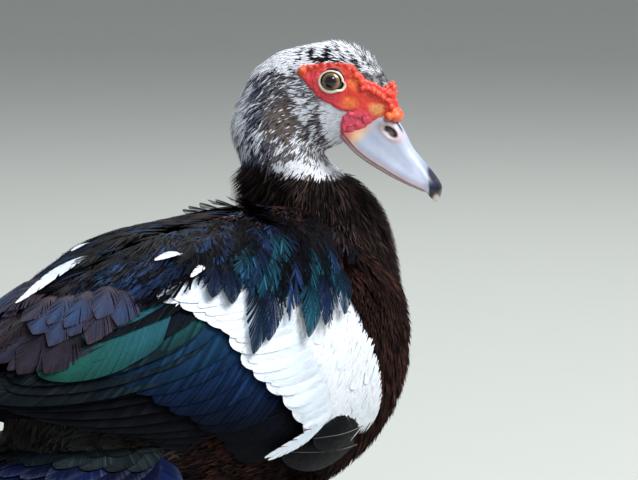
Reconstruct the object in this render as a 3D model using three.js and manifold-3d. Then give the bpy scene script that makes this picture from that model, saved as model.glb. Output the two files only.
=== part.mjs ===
// A muscovy duck, standing, life size, looking over its right side. Millimetres, +Z up.
// The body faces +X, +Y is the bird's left, and the feet stand on Z = 0.
import * as THREE from "three";
import { mergeVertices } from "three/addons/utils/BufferGeometryUtils.js";
import Module from "manifold-3d";

const wasm = await Module();
wasm.setup();

// Driving dimensions
const RAISE = 22; // lifts every height below, which are counted from 22 mm above the floor
const GAP = 0.3; // space kept between neighbouring pieces
const FRONT = 148; // foremost point of the breast
const REAR = -165; // hindmost point of the rump
const HEAD_YAW = THREE.MathUtils.degToRad(-64); // the head is turned to the bird's right
const HEAD_AT = new THREE.Vector3(83, -1, 291.6 + RAISE); // centre of the head's own frame
const BILL_SLOPE = THREE.MathUtils.degToRad(41); // the bill points this far below the horizon
const EYE_RADIUS = 8.5;
const TARSUS_RADIUS = 5.2;
const WEB_THICKNESS = 1.8;
const RIGHT = -1;
const LEFT = 1;

const TORSO = {
  spine: [[-165, 128], [-110, 138], [-60, 148], [0, 157], [60, 160], [100, 164], [148, 172]],
  up: [[-165, 60], [-110, 82], [-60, 86], [0, 80], [60, 84], [100, 96], [148, 92]],
  down: [[-165, 44], [-110, 58], [-60, 76], [0, 84], [60, 90], [100, 96], [148, 98]],
  half: [[-165, 62], [-110, 70], [-60, 77], [0, 80], [60, 84], [100, 90], [148, 92]],
};
// The outer surface of the folded wings
const COVER = {
  spine: [[-250, 160], [-200, 160], [-140, 158], [-60, 158], [0, 158], [60, 160], [110, 164]],
  up: [
    [-250, 24], [-200, 40], [-140, 60], [-100, 72], [-60, 82], [0, 86], [50, 86], [85, 82], [110, 70],
  ],
  half: [[-250, 18], [-200, 38], [-140, 62], [-60, 84], [0, 92], [50, 86], [80, 75], [105, 60]],
};
const HEAD = {
  rear: -38,
  front: 58,
  spine: [[-38, -2], [-22, 4], [0, 11], [20, 15], [45, 14.5], [58, 10]],
  up: [[-38, 42], [-22, 41], [0, 34], [20, 33], [45, 33], [58, 28]],
  down: [[-38, 40], [-22, 38], [0, 34], [20, 32], [45, 26], [58, 20]],
  half: [[-38, 25], [-20, 24], [0, 21.5], [20, 19.5], [45, 17], [58, 15]],
};
// height, centre x, centre y, half depth, half width
const NECK = [
  [150, 92, 0, 50, 52], [185, 95, 0, 50, 54], [212, 97, 0, 47, 50], [229, 98, 0, 43, 44],
  [239, 98, 0.5, 39, 40], [251, 92, 3, 34.5, 35], [261, 85, 6, 29, 30], [271, 79, 9, 25.8, 27],
  [285, 76, 12, 26, 26], [300, 78, 10, 25, 23], [316, 82, 6, 15, 14],
];
const NECK_TURN = [[150, 0], [212, -8], [250, -35], [285, -64]];

const rad = THREE.MathUtils.degToRad;
const lerp = THREE.MathUtils.lerp;
// n values from one number to another, and n angles round a full turn
const steps = (n, from = 0, to = 1) => Array.from({ length: n }, (_, i) => lerp(from, to, i / (n - 1)));
const turns = (n) => steps(n + 1, 0, 2 * Math.PI).slice(0, n);
const UP = new THREE.Vector3(0, 0, 1);

// A smooth curve through [x, value] knots, held level past its ends
function through(knots, x) {
  const n = knots.length;
  const at = THREE.MathUtils.clamp(x, knots[0][0], knots[n - 1][0]);
  let i = 0;
  while (i < n - 2 && at > knots[i + 1][0]) i++;
  const slope = (k) => (knots[k + 1][1] - knots[k][1]) / (knots[k + 1][0] - knots[k][0]);
  const tangent = (k) => (k === 0 ? slope(0) : k === n - 1 ? slope(n - 2) : (slope(k - 1) + slope(k)) / 2);
  const h = knots[i + 1][0] - knots[i][0];
  const t = (at - knots[i][0]) / h;
  return (
    (2 * t ** 3 - 3 * t ** 2 + 1) * knots[i][1] +
    (t ** 3 - 2 * t ** 2 + t) * h * tangent(i) +
    (3 * t ** 2 - 2 * t ** 3) * knots[i + 1][1] +
    (t ** 3 - t ** 2) * h * tangent(i + 1)
  );
}

const squarish = (v, n) => Math.sign(v) * Math.abs(v) ** (2 / n);
const roundness = (t) => Math.sqrt(Math.max(0, 1 - t * t));

// A point on the torso. angle is 0 on the back and turns to the given side; grow pushes the surface out
function torsoPoint(x, angle, grow = 0, side = RIGHT) {
  const middle = (FRONT + REAR) / 2;
  const e = roundness((x - middle) / ((FRONT - REAR) / 2 + grow));
  const s = squarish(Math.sin(angle), 2.15);
  const c = squarish(Math.cos(angle), 2.15);
  const height = through(c > 0 ? TORSO.up : TORSO.down, x);
  return new THREE.Vector3(
    x,
    side * (through(TORSO.half, x) * e + grow) * s,
    through(TORSO.spine, x) + RAISE + (height * e + grow) * c,
  );
}

// A point on the outer surface of the folded wings
function coverPoint(x, angle, lift = 0, side = RIGHT) {
  const s = squarish(Math.sin(angle), 2.15);
  const c = squarish(Math.cos(angle), 2.15);
  return new THREE.Vector3(
    x,
    side * (through(COVER.half, x) + lift) * s,
    through(COVER.spine, x) + RAISE + (through(COVER.up, x) + lift) * c,
  );
}

// A point in the head's own frame: x towards the bill, y to the head's left, z up
function headSpace(x, y, z) {
  return new THREE.Vector3(x, y, z).applyAxisAngle(UP, HEAD_YAW).add(HEAD_AT);
}

function headPoint(x, angle, grow = 0) {
  const middle = (HEAD.front + HEAD.rear) / 2;
  const e = roundness((x - middle) / ((HEAD.front - HEAD.rear) / 2 + grow));
  const s = squarish(Math.sin(angle), 2.1);
  const c = squarish(Math.cos(angle), 2.1);
  const height = through(c > 0 ? HEAD.up : HEAD.down, x);
  return headSpace(
    x,
    -(through(HEAD.half, x) * e + grow) * s,
    through(HEAD.spine, x) + (height * e + grow) * c,
  );
}

function neckPoint(z, angle, grow = 0) {
  const column = (k) => through(NECK.map((row) => [row[0], row[k]]), z);
  const turn = rad(through(NECK_TURN, z));
  const fore = (column(3) + grow) * Math.cos(angle);
  const left = (column(4) + grow) * Math.sin(angle);
  return new THREE.Vector3(
    column(1) + fore * Math.cos(turn) - left * Math.sin(turn),
    column(2) + fore * Math.sin(turn) + left * Math.cos(turn),
    z + RAISE,
  );
}

// Solids

function solid(vertices, triangles) {
  const vertProperties = new Float32Array(vertices.flatMap((v) => [v.x, v.y, v.z]));
  const made = new wasm.Manifold(
    new wasm.Mesh({ numProp: 3, vertProperties, triVerts: new Uint32Array(triangles) }),
  );
  if (made.volume() >= 0) return made;
  const turned = [];
  for (let i = 0; i < triangles.length; i += 3) turned.push(triangles[i], triangles[i + 2], triangles[i + 1]);
  return new wasm.Manifold(new wasm.Mesh({ numProp: 3, vertProperties, triVerts: new Uint32Array(turned) }));
}

function solidOfGeometry(geometry) {
  const bare = geometry.clone();
  bare.deleteAttribute("normal");
  bare.deleteAttribute("uv");
  const merged = mergeVertices(bare, 1e-4);
  const p = merged.attributes.position;
  const vertices = Array.from({ length: p.count }, (_, i) => new THREE.Vector3().fromBufferAttribute(p, i));
  return solid(vertices, Array.from(merged.index.array));
}

// Rings of equal count joined into one closed body. Both faces of a thin body are split alike:
// the second half of each ring takes the other diagonal
function loft(rings, thin = false) {
  const k = rings[0].length;
  const vertices = rings.flat();
  const triangles = [];
  for (let i = 0; i + 1 < rings.length; i++)
    for (let j = 0; j < k; j++) {
      const a = i * k + j;
      const b = i * k + ((j + 1) % k);
      const c = a + k;
      const d = b + k;
      if (thin && j >= k / 2) triangles.push(a, b, c, b, d, c);
      else triangles.push(a, b, d, a, d, c);
    }
  if (thin) {
    // The end faces join each upper point to the one below it
    const last = (rings.length - 1) * k;
    for (let j = 0; j + 1 < k / 2; j++) {
      const under = k - 1 - j;
      triangles.push(j, under, j + 1, j + 1, under, under - 1);
      triangles.push(last + j, last + j + 1, last + under, last + j + 1, last + under - 1, last + under);
    }
    return solid(vertices, triangles);
  }
  for (const [start, flip] of [[0, true], [(rings.length - 1) * k, false]]) {
    const centre = vertices.slice(start, start + k).reduce((s, v) => s.add(v), new THREE.Vector3());
    vertices.push(centre.divideScalar(k));
    const hub = vertices.length - 1;
    for (let j = 0; j < k; j++) {
      const a = start + j;
      const b = start + ((j + 1) % k);
      triangles.push(...(flip ? [hub, b, a] : [hub, a, b]));
    }
  }
  return solid(vertices, triangles);
}

// A slab between an outer and an inner surface over a grid of the chart
function slab(outer, inner, columns, rows) {
  const vertices = [];
  for (const face of [outer, inner])
    for (let i = 0; i <= columns; i++)
      for (let j = 0; j <= rows; j++) vertices.push(face(i / columns, j / rows));
  const n = rows + 1;
  const under = (columns + 1) * n;
  const triangles = [];
  for (let i = 0; i < columns; i++)
    for (let j = 0; j < rows; j++) {
      const a = i * n + j;
      triangles.push(a, a + n, a + n + 1, a, a + n + 1, a + 1);
      const b = under + a;
      triangles.push(b, b + n + 1, b + n, b, b + 1, b + n + 1);
    }
  const wall = (a, b) => triangles.push(a, b, under + b, a, under + b, under + a);
  for (let j = 0; j < rows; j++) {
    wall(j, j + 1);
    wall(columns * n + j + 1, columns * n + j);
  }
  for (let i = 0; i < columns; i++) {
    wall((i + 1) * n, i * n);
    wall(i * n + rows, (i + 1) * n + rows);
  }
  return solid(vertices, triangles);
}

// One feather: a thin plate along a path, its face turned to normal(t), rolled about its own length.
// root and tip are shares of its width
function vane({ path, normal, width, root = 0.7, tip = 0.25, thick = 0.9, stations = 4, roll = 0 }) {
  const rings = steps(stations).map((t) => {
    const at = path(t);
    const along = path(Math.min(1, t + 0.02)).sub(path(Math.max(0, t - 0.02))).normalize();
    const facing = normal(t);
    const out = facing.addScaledVector(along, -facing.dot(along)).normalize().applyAxisAngle(along, roll);
    const across = new THREE.Vector3().crossVectors(along, out);
    // Narrow at the root, widest from the middle on, then drawn in to the tip
    const shape = t > 0.99 ? tip : lerp(root, 1, Math.min(1, t * 2.6)) * (t > 0.6 ? 0.92 : 1);
    const half = (width * shape) / 2;
    const deep = (thick * lerp(1, 0.6, t)) / 2;
    const corner = (s, o) => at.clone().addScaledVector(across, s * half).addScaledVector(out, o * deep);
    return [corner(-1, 1), corner(1, 1), corner(1, -1), corner(-1, -1)];
  });
  return loft(rings, true);
}

// A feather that lies on the folded wing, from one place [x, angle] of its surface to another.
// lift is its height over that surface at the root and from a third of its length on
function wingVane({ from, to, lift, side, ...rest }) {
  const place = (t) => [lerp(from[0], to[0], t), rad(lerp(from[1], to[1], t))];
  const path = (t) => coverPoint(...place(t), lerp(lift[0], lift[1], Math.min(1, t * 3)), side);
  const normal = (t) => {
    const [x, angle] = place(t);
    const along = coverPoint(x + 1, angle, 0, side).sub(coverPoint(x - 1, angle, 0, side));
    const round = coverPoint(x, angle + 0.02, 0, side).sub(coverPoint(x, angle - 0.02, 0, side));
    const out = new THREE.Vector3().crossVectors(along, round).normalize();
    return side === RIGHT ? out : out.negate();
  };
  return vane({ path, normal, ...rest });
}

function ball(centre, radius, around = 6, down = 4) {
  const geometry = new THREE.SphereGeometry(radius, around, down);
  geometry.rotateX(Math.PI / 2).rotateZ(HEAD_YAW).translate(centre.x, centre.y, centre.z);
  return solidOfGeometry(geometry);
}

const union = (pieces) => wasm.Manifold.union(pieces);
const largest = (body) => body.decompose().reduce((a, b) => (b.volume() > a.volume() ? b : a));


// A seeded draw, so that feathers vary alike each time
let seed = 7;
function vary(amount) {
  seed = (seed * 16807) % 2147483647;
  return (seed / 2147483647 - 0.5) * 2 * amount;
}

// Torso, neck and head, parted by thin cuts

function ellipsoidLoft(point, rear, front, rings, around, grow = 0) {
  const middle = (front + rear) / 2;
  const reach = (front - rear) / 2 + grow;
  return loft(
    steps(rings, 0.03, 0.97).map((t) =>
      turns(around).map((a) => point(middle - reach * Math.cos(Math.PI * t), a, grow)),
    ),
  );
}

const torsoForm = (grow = 0) => ellipsoidLoft(torsoPoint, REAR, FRONT, 18, 20, grow);
const headForm = (grow = 0) => ellipsoidLoft(headPoint, HEAD.rear, HEAD.front, 12, 16, grow);
const neckForm = (grow = 0) =>
  loft([150, 185, 212, 229, 241, 252, 262, 272, 285, 296, 306, 314].map((z) =>
    turns(20).map((a) => neckPoint(z, a, grow)),
  ));

// Keeps what lies on the side of a plane that its normal points to
function trim(body, point, normal) {
  const n = normal.clone().normalize();
  return body.trimByPlane([n.x, n.y, n.z], n.dot(point));
}

const NECK_CUT = { point: new THREE.Vector3(98, 0, 224 + RAISE), normal: new THREE.Vector3(0.42, 0, 0.91) };
const COLLAR_CUT = {
  point: headSpace(0, 0, -36),
  normal: new THREE.Vector3(-0.18, 0, 0.98).applyAxisAngle(UP, HEAD_YAW),
};
const offset = (cut, by) => cut.point.clone().addScaledVector(cut.normal.clone().normalize(), by);

const flesh = union([torsoForm(), neckForm(), headForm()]);
const torso = largest(trim(flesh, offset(NECK_CUT, -GAP / 2), NECK_CUT.normal.clone().negate()));
const aboveTorso = trim(flesh, offset(NECK_CUT, GAP / 2), NECK_CUT.normal);
let neck = largest(trim(aboveTorso, offset(COLLAR_CUT, -GAP / 2), COLLAR_CUT.normal.clone().negate()));
let head = largest(trim(aboveTorso, offset(COLLAR_CUT, GAP / 2), COLLAR_CUT.normal));

// Face: warts of bare skin round the eye and along the brow to the bill, and the eyelids
const EYE = [22, 12.4, 25];
// x, z and size of each wart as seen from the side; the row over the eye runs down to the bill's root
const WARTS = [
  [4.6, 31, 3.2], [10.8, 34, 2.5], [17.6, 35.8, 2.4], [25, 35.4, 2.5], [32, 32.6, 2.9],
  [37.4, 27, 3.6], [43.6, 21, 3.6], [49.6, 15.2, 3.6], [54, 20.4, 3],
  [36.4, 12.4, 4], [35, -0.6, 4.4], [43.4, 3.4, 4.2],
];
// The head's half width at a place seen from the side
function sideOf(x, z) {
  const middle = (HEAD.front + HEAD.rear) / 2;
  const e = roundness((x - middle) / ((HEAD.front - HEAD.rear) / 2));
  const rise = z - through(HEAD.spine, x);
  const c = Math.min(0.999, Math.abs(rise) / (through(rise > 0 ? HEAD.up : HEAD.down, x) * e));
  return through(HEAD.half, x) * e * squarish(roundness(c ** 1.05), 2.1);
}
function faceForms(side, grow = 0) {
  const warts = WARTS.map(([x, z, size]) =>
    ball(headSpace(x, side * (sideOf(x, z) - size * 0.25), z), size + grow),
  );
  const lids = new THREE.TorusGeometry(7.6, 1.5 + grow, 5, 14);
  lids.scale(1.06, 0.92, 1).rotateX(Math.PI / 2).rotateZ(HEAD_YAW);
  const at = headSpace(EYE[0], side * (EYE[1] + 6.2), EYE[2]);
  lids.translate(at.x, at.y, at.z);
  return [...warts, solidOfGeometry(lids)];
}
const KNOB = [headSpace(56.5, -4.5, 3.5), headSpace(56.5, 4.5, 3.5)];
const knobs = (grow = 0) => KNOB.map((at) => ball(at, 4.6 + grow, 8, 6));
const eyeAt = (side) => headSpace(EYE[0], side * EYE[1], EYE[2]);

// Nape feathers: flat, pointed locks down the back of the head and neck, their tips lifted
function nape(low, high, rows, length) {
  return steps(rows, high, low).flatMap((z, r) =>
    steps(5, 118, 242).map((bearing) => {
      const angle = rad(bearing + (r % 2) * 9 + vary(3));
      const long = length + vary(2);
      const outwards = neckPoint(z, angle, 1).sub(neckPoint(z, angle, 0)).normalize();
      return vane({
        path: (t) => neckPoint(z - long * t, angle).addScaledVector(outwards, lerp(-2.2, 4.2, t)),
        normal: () => outwards.clone(),
        width: 6.5,
        tip: 0.12,
        stations: 3,
      });
    }),
  );
}

head = union([head, ...faceForms(RIGHT), ...faceForms(LEFT), ...knobs(), ...nape(270, 296, 3, 13)]);
for (const side of [RIGHT, LEFT]) head = head.subtract(ball(eyeAt(side), EYE_RADIUS + GAP, 14, 8));
neck = union([neck, ...nape(257, 263, 2, 9)]);
head = largest(trim(head, offset(COLLAR_CUT, GAP / 2), COLLAR_CUT.normal));
neck = largest(trim(neck, offset(COLLAR_CUT, -GAP / 2), COLLAR_CUT.normal.clone().negate()));

// Bill, in a frame that lies along it: p forwards from the corner of the mouth, q up, y to the left
const GAPE = [30, -8];
function billSpace(p, y, q) {
  const x = GAPE[0] + p * Math.cos(BILL_SLOPE) + q * Math.sin(BILL_SLOPE);
  const z = GAPE[1] - p * Math.sin(BILL_SLOPE) + q * Math.cos(BILL_SLOPE);
  return headSpace(x, y, z);
}
const BILL = {
  ridge: [[-4, 27], [16, 25], [24, 22.4], [32, 19.2], [39, 18], [48, 16.6], [55, 15], [60, 12.6], [63, 8]],
  edge: [[-4, 0.6], [0, 0], [10, -1.4], [29, 0.8], [44, 4.3], [55, 7.4], [60, 6.2], [63, 5.6]],
  keel: [[-4, -4.5], [0, -5], [10, -5.4], [29, -2.6], [44, 1.6], [55, 5.4]],
  half: [[-4, 12.5], [16, 12], [30, 10.8], [44, 11.2], [53, 10.6], [58, 8.6], [61, 6], [63, 2.6]],
};
const upperBill = loft(
  [-4, 6, 16, 25, 33, 41, 48, 54, 58, 61, 63].map((p) => {
    const base = through(BILL.edge, p);
    const rise = through(BILL.ridge, p) - base;
    const half = through(BILL.half, p);
    // A ridge that is narrow near the root and broad and low near the tip
    const arch = steps(7, 0, Math.PI).map((a) => {
      const y = half * squarish(Math.cos(a), lerp(2, 2.6, p / 63));
      return billSpace(p, y, base + rise * Math.sin(a) ** lerp(1.25, 0.9, Math.max(0, p) / 63));
    });
    const palate = [-0.5, 0, 0.5].map((s) => billSpace(p, s * half, base + 0.06 * rise));
    return [...arch, ...palate];
  }),
);
const lowerBill = loft(
  [-3, 6, 15, 24, 33, 42, 50, 54].map((p) => {
    const top = through(BILL.edge, p) - GAP;
    const low = Math.min(through(BILL.keel, p), top - 1.2);
    const half = through(BILL.half, p) * 0.93;
    return [
      billSpace(p, half, top), billSpace(p, 0, top + 0.04), billSpace(p, -half, top),
      billSpace(p, -half * 0.82, lerp(top, low, 0.7)), billSpace(p, 0, low),
      billSpace(p, half * 0.82, lerp(top, low, 0.7)),
    ];
  }),
);
const nostril = (side) => {
  const slot = new THREE.CapsuleGeometry(1.5, 4.2, 2, 6);
  slot.rotateZ(Math.PI / 2).rotateX(-side * 0.5).rotateY(BILL_SLOPE).rotateZ(HEAD_YAW);
  const at = billSpace(16.5, side * 7.4, 19);
  slot.translate(at.x, at.y, at.z);
  return solidOfGeometry(slot);
};
const headGrown = union([headForm(GAP), ...faceForms(RIGHT, GAP), ...faceForms(LEFT, GAP), ...knobs(GAP)]);
const billAlong = billSpace(1, 0, 0).sub(billSpace(0, 0, 0));
const NAIL_FROM = 54.5;
let billUpper = upperBill.subtract(headGrown).subtract(nostril(RIGHT)).subtract(nostril(LEFT));
const billNail = largest(trim(billUpper, billSpace(NAIL_FROM + GAP / 2, 0, 0), billAlong));
billUpper = largest(trim(billUpper, billSpace(NAIL_FROM - GAP / 2, 0, 0), billAlong.clone().negate()));
const billLower = largest(
  trim(lowerBill.subtract(headGrown), billSpace(NAIL_FROM - GAP / 2, 0, 0), billAlong.clone().negate()),
);

// Folded wings

// A tier of feathers: the roots and the tips each run between two places [x, angle] of the wing.
// step is what each next feather lies higher than the one before, at its root and past it
function tier({ count, from, to, width, lift, step = [0, 0], roll = 8, ...rest }, side) {
  return steps(count).map((t) => {
    const between = (ends) => ends[0].map((v, k) => lerp(v, ends[1][k], t));
    const [x, angle] = between(to);
    return wingVane({
      from: between(from),
      to: [x + vary(2), angle + vary(1)],
      lift: lift.map((l, k) => l + step[k] * t * (count - 1)),
      width: lerp(width[0], width[1], t),
      roll: -side * rad(roll),
      side,
      ...rest,
    });
  });
}

const ARM_ANGLES = [36, 116]; // the fleshy part of the wing, from under the shoulder feathers to its edge
function wingArm(side) {
  const place = (u, v) => {
    const front = lerp(64, 46, Math.abs(v - 0.55) * 1.6);
    return [lerp(front, lerp(-58, -24, v), u), rad(lerp(...ARM_ANGLES, v))];
  };
  return slab(
    (u, v) => {
      const rim = Math.min(1, u * 6, v * 9, (1 - v) * 6);
      return coverPoint(...place(u, v), -4.6 - 3 * (1 - rim) ** 2, side);
    },
    (u, v) => torsoPoint(...place(u, v), 3 * GAP, side),
    6,
    7,
  );
}

const WING_TIERS = [
  // secondaries
  {
    count: 7, from: [[-34, 109], [-56, 66]], to: [[-192, 93], [-234, 66]],
    width: [24, 24], root: 0.4, lift: [-10, -13.6], step: [0.2, 0.65], roll: 10,
  },
  // primaries
  {
    count: 3, from: [[-50, 96], [-50, 84]], to: [[-246, 86], [-256, 66]],
    width: [15, 15], root: 0.5, lift: [-14, -18.4], step: [0, 0.8], roll: 10,
  },
  // tertials
  {
    count: 3, from: [[-54, 60], [-54, 46]], to: [[-205, 54], [-168, 26]],
    width: [29, 29], root: 0.5, lift: [-8, -9], step: [0.3, 0.9],
  },
  // greater coverts
  {
    count: 7, from: [[-20, 108], [-50, 48]], to: [[-96, 106], [-146, 60]],
    width: [22, 25], lift: [-7, -5],
  },
  // median coverts
  {
    count: 6, from: [[10, 108], [-30, 48]], to: [[-34, 112], [-84, 52]],
    width: [23, 23], lift: [-8, -0.9], roll: 7, stations: 3,
  },
  // alula
  {
    count: 3, from: [[44, 110], [38, 102]], to: [[8, 119], [-10, 112]],
    width: [14, 14], lift: [-8, -2.5], stations: 3,
  },
];

function wing(side) {
  seed = 11;
  return union([wingArm(side), ...WING_TIERS.flatMap((sizes) => tier(sizes, side))]);
}

// Shoulder feathers, pointed, in two tiers over the wing and two over the back
const MANTLE_TIERS = [
  {
    count: 6, from: [[48, 29], [-36, 25]], to: [[14, 66], [-82, 58]],
    width: [25, 25], lift: [-2, 6], roll: 5, stations: 3,
  },
  {
    count: 5, from: [[34, 29], [-40, 25]], to: [[-6, 80], [-94, 70]],
    width: [24, 24], lift: [-4.4, 3.4], roll: 5,
  },
  {
    count: 3, from: [[-38, 26], [-40, 6]], to: [[-160, 48], [-150, 8]],
    width: [28, 28], lift: [-4, 1.2], step: [0, 0.8], roll: 5,
  },
  {
    count: 3, from: [[-38, 22], [-36, 7]], to: [[-112, 36], [-108, 8]],
    width: [24, 24], lift: [-1.4, 6], roll: 5, stations: 3,
  },
];

function mantle(side) {
  seed = 31;
  const place = (u, v) => [lerp(56, -50, u), rad(lerp(1, 33, v))];
  const back = slab(
    (u, v) => coverPoint(...place(u, v), lerp(-1.8, 1.2, Math.min(1, u * 5, (1 - v) * 4)), side),
    (u, v) => torsoPoint(...place(u, v), 3 * GAP, side),
    5,
    3,
  );
  return union([back, ...MANTLE_TIERS.flatMap((sizes) => tier({ ...sizes, tip: 0.16 }, side))]);
}

// Tail: a fan of long feathers under and over short coverts, joined in a low pad at their roots

const TAIL = { hub: [-35, 133], reach: 240, spread: 36, feathers: 12, droop: 0.12, arch: 0.0009 };

function tailPoint(r, bearing, rise) {
  const y = r * Math.sin(rad(bearing));
  const fall = TAIL.droop * Math.max(0, r - 80) + TAIL.arch * y * y;
  return new THREE.Vector3(TAIL.hub[0] - r * Math.cos(rad(bearing)), y, TAIL.hub[1] + RAISE - fall + rise);
}

// from and to are distances from the fan's hub, lift the heights over the fan there
function tailVane(bearing, from, to, lift, width, shape = {}) {
  const path = (t) => tailPoint(lerp(from, to, t), bearing, lerp(lift[0], lift[1], t));
  return vane({ path, normal: () => UP.clone(), width, ...shape });
}

function tailForm() {
  seed = 41;
  const fan = steps(TAIL.feathers, -1, 1).map((s) => {
    const outer = Math.abs(s);
    const tip = TAIL.reach - 52 * outer ** 1.8 + vary(3);
    // Middle feathers lie over outer ones
    const layer = -2.2 * outer;
    const shape = { tip: 0.34, roll: rad(5) * Math.sign(s) };
    return tailVane(s * TAIL.spread, 92, tip, [layer, layer], lerp(34, 29, outer), shape);
  });
  const over = steps(7, -1, 1).map((s) => {
    const outer = Math.abs(s);
    return tailVane(s * 27, 84, 156 - 20 * s * s + vary(3), [4.5 - 2 * outer, 2.6 - 2.2 * outer], 25);
  });
  const under = steps(5, -1, 1).map((s) => tailVane(s * 26, 84, 150 - 18 * s * s, [-6, -4.6], 24));
  const pad = loft(
    steps(7, -1, 1).map((s) => {
      const full = 0.25 + 0.75 * roundness(s * 0.97);
      return steps(9, 0, 2 * Math.PI)
        .slice(0, 8)
        .map((a) => tailPoint(104 + 26 * full * Math.cos(a), s * 30, -1 + 6 * full * Math.sin(a)));
    }),
  );
  return union([pad, ...fan, ...over, ...under]);
}

// Legs: feathered thigh, bare shank, webbed foot

const HIP = [4, 38, 112 + RAISE];
const HOCK = [-20, 43, 40 + RAISE];
const SOLE = [4, 44, 7];
const ANKLE = 11; // where shank and foot meet
function limb(points, side, around) {
  return loft(
    points.map(([x, y, z, fore, wide]) =>
      turns(around).map((a) => new THREE.Vector3(x + fore * Math.cos(a), side * (y + wide * Math.sin(a)), z)),
    ),
  );
}
function thigh(side) {
  const rings = [[0, 34, 22], [0.25, 36, 24], [0.48, 31, 22], [0.7, 22, 17], [0.87, 13, 11], [0.96, 8.5, 8]];
  const centre = (t) => HIP.map((v, k) => lerp(v, HOCK[k], t));
  return limb(rings.map(([t, fore, wide]) => [...centre(t), fore, wide]), side, 12);
}
function shank(side) {
  // height, then half depth and half width as shares of the radius: widest at the hock and the ankle
  const rings = [
    [HOCK[2] + 1.8, 1.1, 1], [58, 1.45, 1.2], [50, 1.2, 1], [32, 1, 0.85], [18, 1.05, 0.95], [ANKLE, 1.4, 1.3],
  ];
  return limb(
    rings.map(([z, fore, wide]) => {
      const t = (HOCK[2] - z) / (HOCK[2] - SOLE[2]);
      const centre = [lerp(HOCK[0], SOLE[0], t), lerp(HOCK[1], SOLE[1], t), z];
      return [...centre, fore * TARSUS_RADIUS, wide * TARSUS_RADIUS];
    }),
    side,
    10,
  );
}
// Toe: bearing from straight ahead, length, radius at the root
const TOES = [
  { bearing: -24, long: 58, thick: 5 },
  { bearing: 4, long: 70, thick: 5.4 },
  { bearing: 30, long: 64, thick: 5 },
];
const HIND_TOE = { bearing: 172, long: 17, thick: 3.6 };
function toeLine(toe, side) {
  const turn = rad(toe.bearing) * side;
  const start = new THREE.Vector3(SOLE[0], side * SOLE[1], 0);
  const way = new THREE.Vector3(Math.cos(turn), Math.sin(turn), 0);
  return (t) => start.clone().addScaledVector(way, toe.long * t);
}
function toeForm(toe, side) {
  const line = toeLine(toe, side);
  const across = line(1).sub(line(0)).cross(UP).normalize();
  // A toe is thicker at each joint and ends in a claw that bends to the ground
  const stations = [
    [-0.05, 0.9], [0.12, 1], [0.36, 0.74], [0.46, 0.86], [0.72, 0.66], [0.9, 0.6], [0.96, 0.34], [1.12, 0.12],
  ];
  return loft(
    stations.map(([t, size]) => {
      const radius = toe.thick * size;
      const height = radius * (t > 0.93 ? 1.5 : 1.15);
      return turns(6).map((turn) => {
        const z = Math.max(0, height * 0.8 + height * Math.sin(turn));
        return line(t).addScaledVector(across, radius * Math.cos(turn)).setZ(z);
      });
    }),
  );
}
function foot(side) {
  const tips = TOES.map((toe) => toeLine(toe, side)(0.93));
  const outline = new THREE.Shape();
  const heel = new THREE.Vector2(SOLE[0] - 6, side * SOLE[1]);
  outline.moveTo(heel.x, heel.y);
  outline.lineTo(tips[0].x, tips[0].y);
  for (const i of [0, 1]) {
    // The web's front edge is drawn in between two toes
    const between = tips[i].clone().add(tips[i + 1]).multiplyScalar(0.5);
    const inwards = between.lerp(new THREE.Vector3(heel.x, heel.y, 0), 0.17);
    outline.quadraticCurveTo(inwards.x, inwards.y, tips[i + 1].x, tips[i + 1].y);
  }
  outline.closePath();
  const sheet = { depth: WEB_THICKNESS, bevelEnabled: false, curveSegments: 4 };
  const web = solidOfGeometry(new THREE.ExtrudeGeometry(outline, sheet));
  const heelRings = [[0, 7.4, 6.6], [5, 8, 7], [ANKLE - 1.8, 6.8, 6]];
  const knuckle = limb(heelRings.map(([z, fore, wide]) => [SOLE[0] - 1, SOLE[1], z, fore, wide]), side, 10);
  const whole = union([web, knuckle, ...TOES.map((toe) => toeForm(toe, side)), toeForm(HIND_TOE, side)]);
  return largest(trim(whole, new THREE.Vector3(0, 0, ANKLE - GAP), UP.clone().negate()));
}

// Assembly

const MATERIALS = {
  plumage: ["#2a2024", 0.75, 0],
  headPlumage: ["#8f8f99", 0.8, 0],
  faceSkin: ["#c8452f", 0.5, 0],
  bill: ["#c3c9d6", 0.45, 0],
  nail: ["#15151c", 0.35, 0],
  eye: ["#3a2c1c", 0.1, 0],
  wing: ["#e6e9ee", 0.7, 0],
  gloss: ["#17344f", 0.4, 0.1],
  leg: ["#3c3a34", 0.6, 0],
};
function finish(kind) {
  const [color, roughness, metalness] = MATERIALS[kind];
  return new THREE.MeshStandardMaterial({ color, roughness, metalness });
}

const bird = new THREE.Group();
const headGroup = new THREE.Group();
headGroup.position.copy(HEAD_AT);
headGroup.rotation.z = HEAD_YAW;
bird.add(headGroup);
const legGroups = new Map();
for (const side of [RIGHT, LEFT]) {
  const group = new THREE.Group();
  group.position.set(HIP[0], side * HIP[1], HIP[2]);
  bird.add(group);
  legGroups.set(side, group);
}
bird.updateMatrixWorld(true);

// Puts a solid that is drawn in the bird's frame into the group that it belongs to
function add(name, body, kind, parent = bird) {
  const mesh = body.getMesh();
  const positions = new Float32Array(mesh.numVert * 3);
  for (let i = 0; i < mesh.numVert; i++)
    positions.set(mesh.vertProperties.subarray(i * mesh.numProp, i * mesh.numProp + 3), i * 3);
  const geometry = new THREE.BufferGeometry();
  geometry.setAttribute("position", new THREE.BufferAttribute(positions, 3));
  geometry.setIndex(new THREE.BufferAttribute(mesh.triVerts, 1));
  geometry.applyMatrix4(parent.matrixWorld.clone().invert());
  const piece = new THREE.Mesh(geometry, finish(kind));
  piece.name = name;
  parent.add(piece);
}

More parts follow.
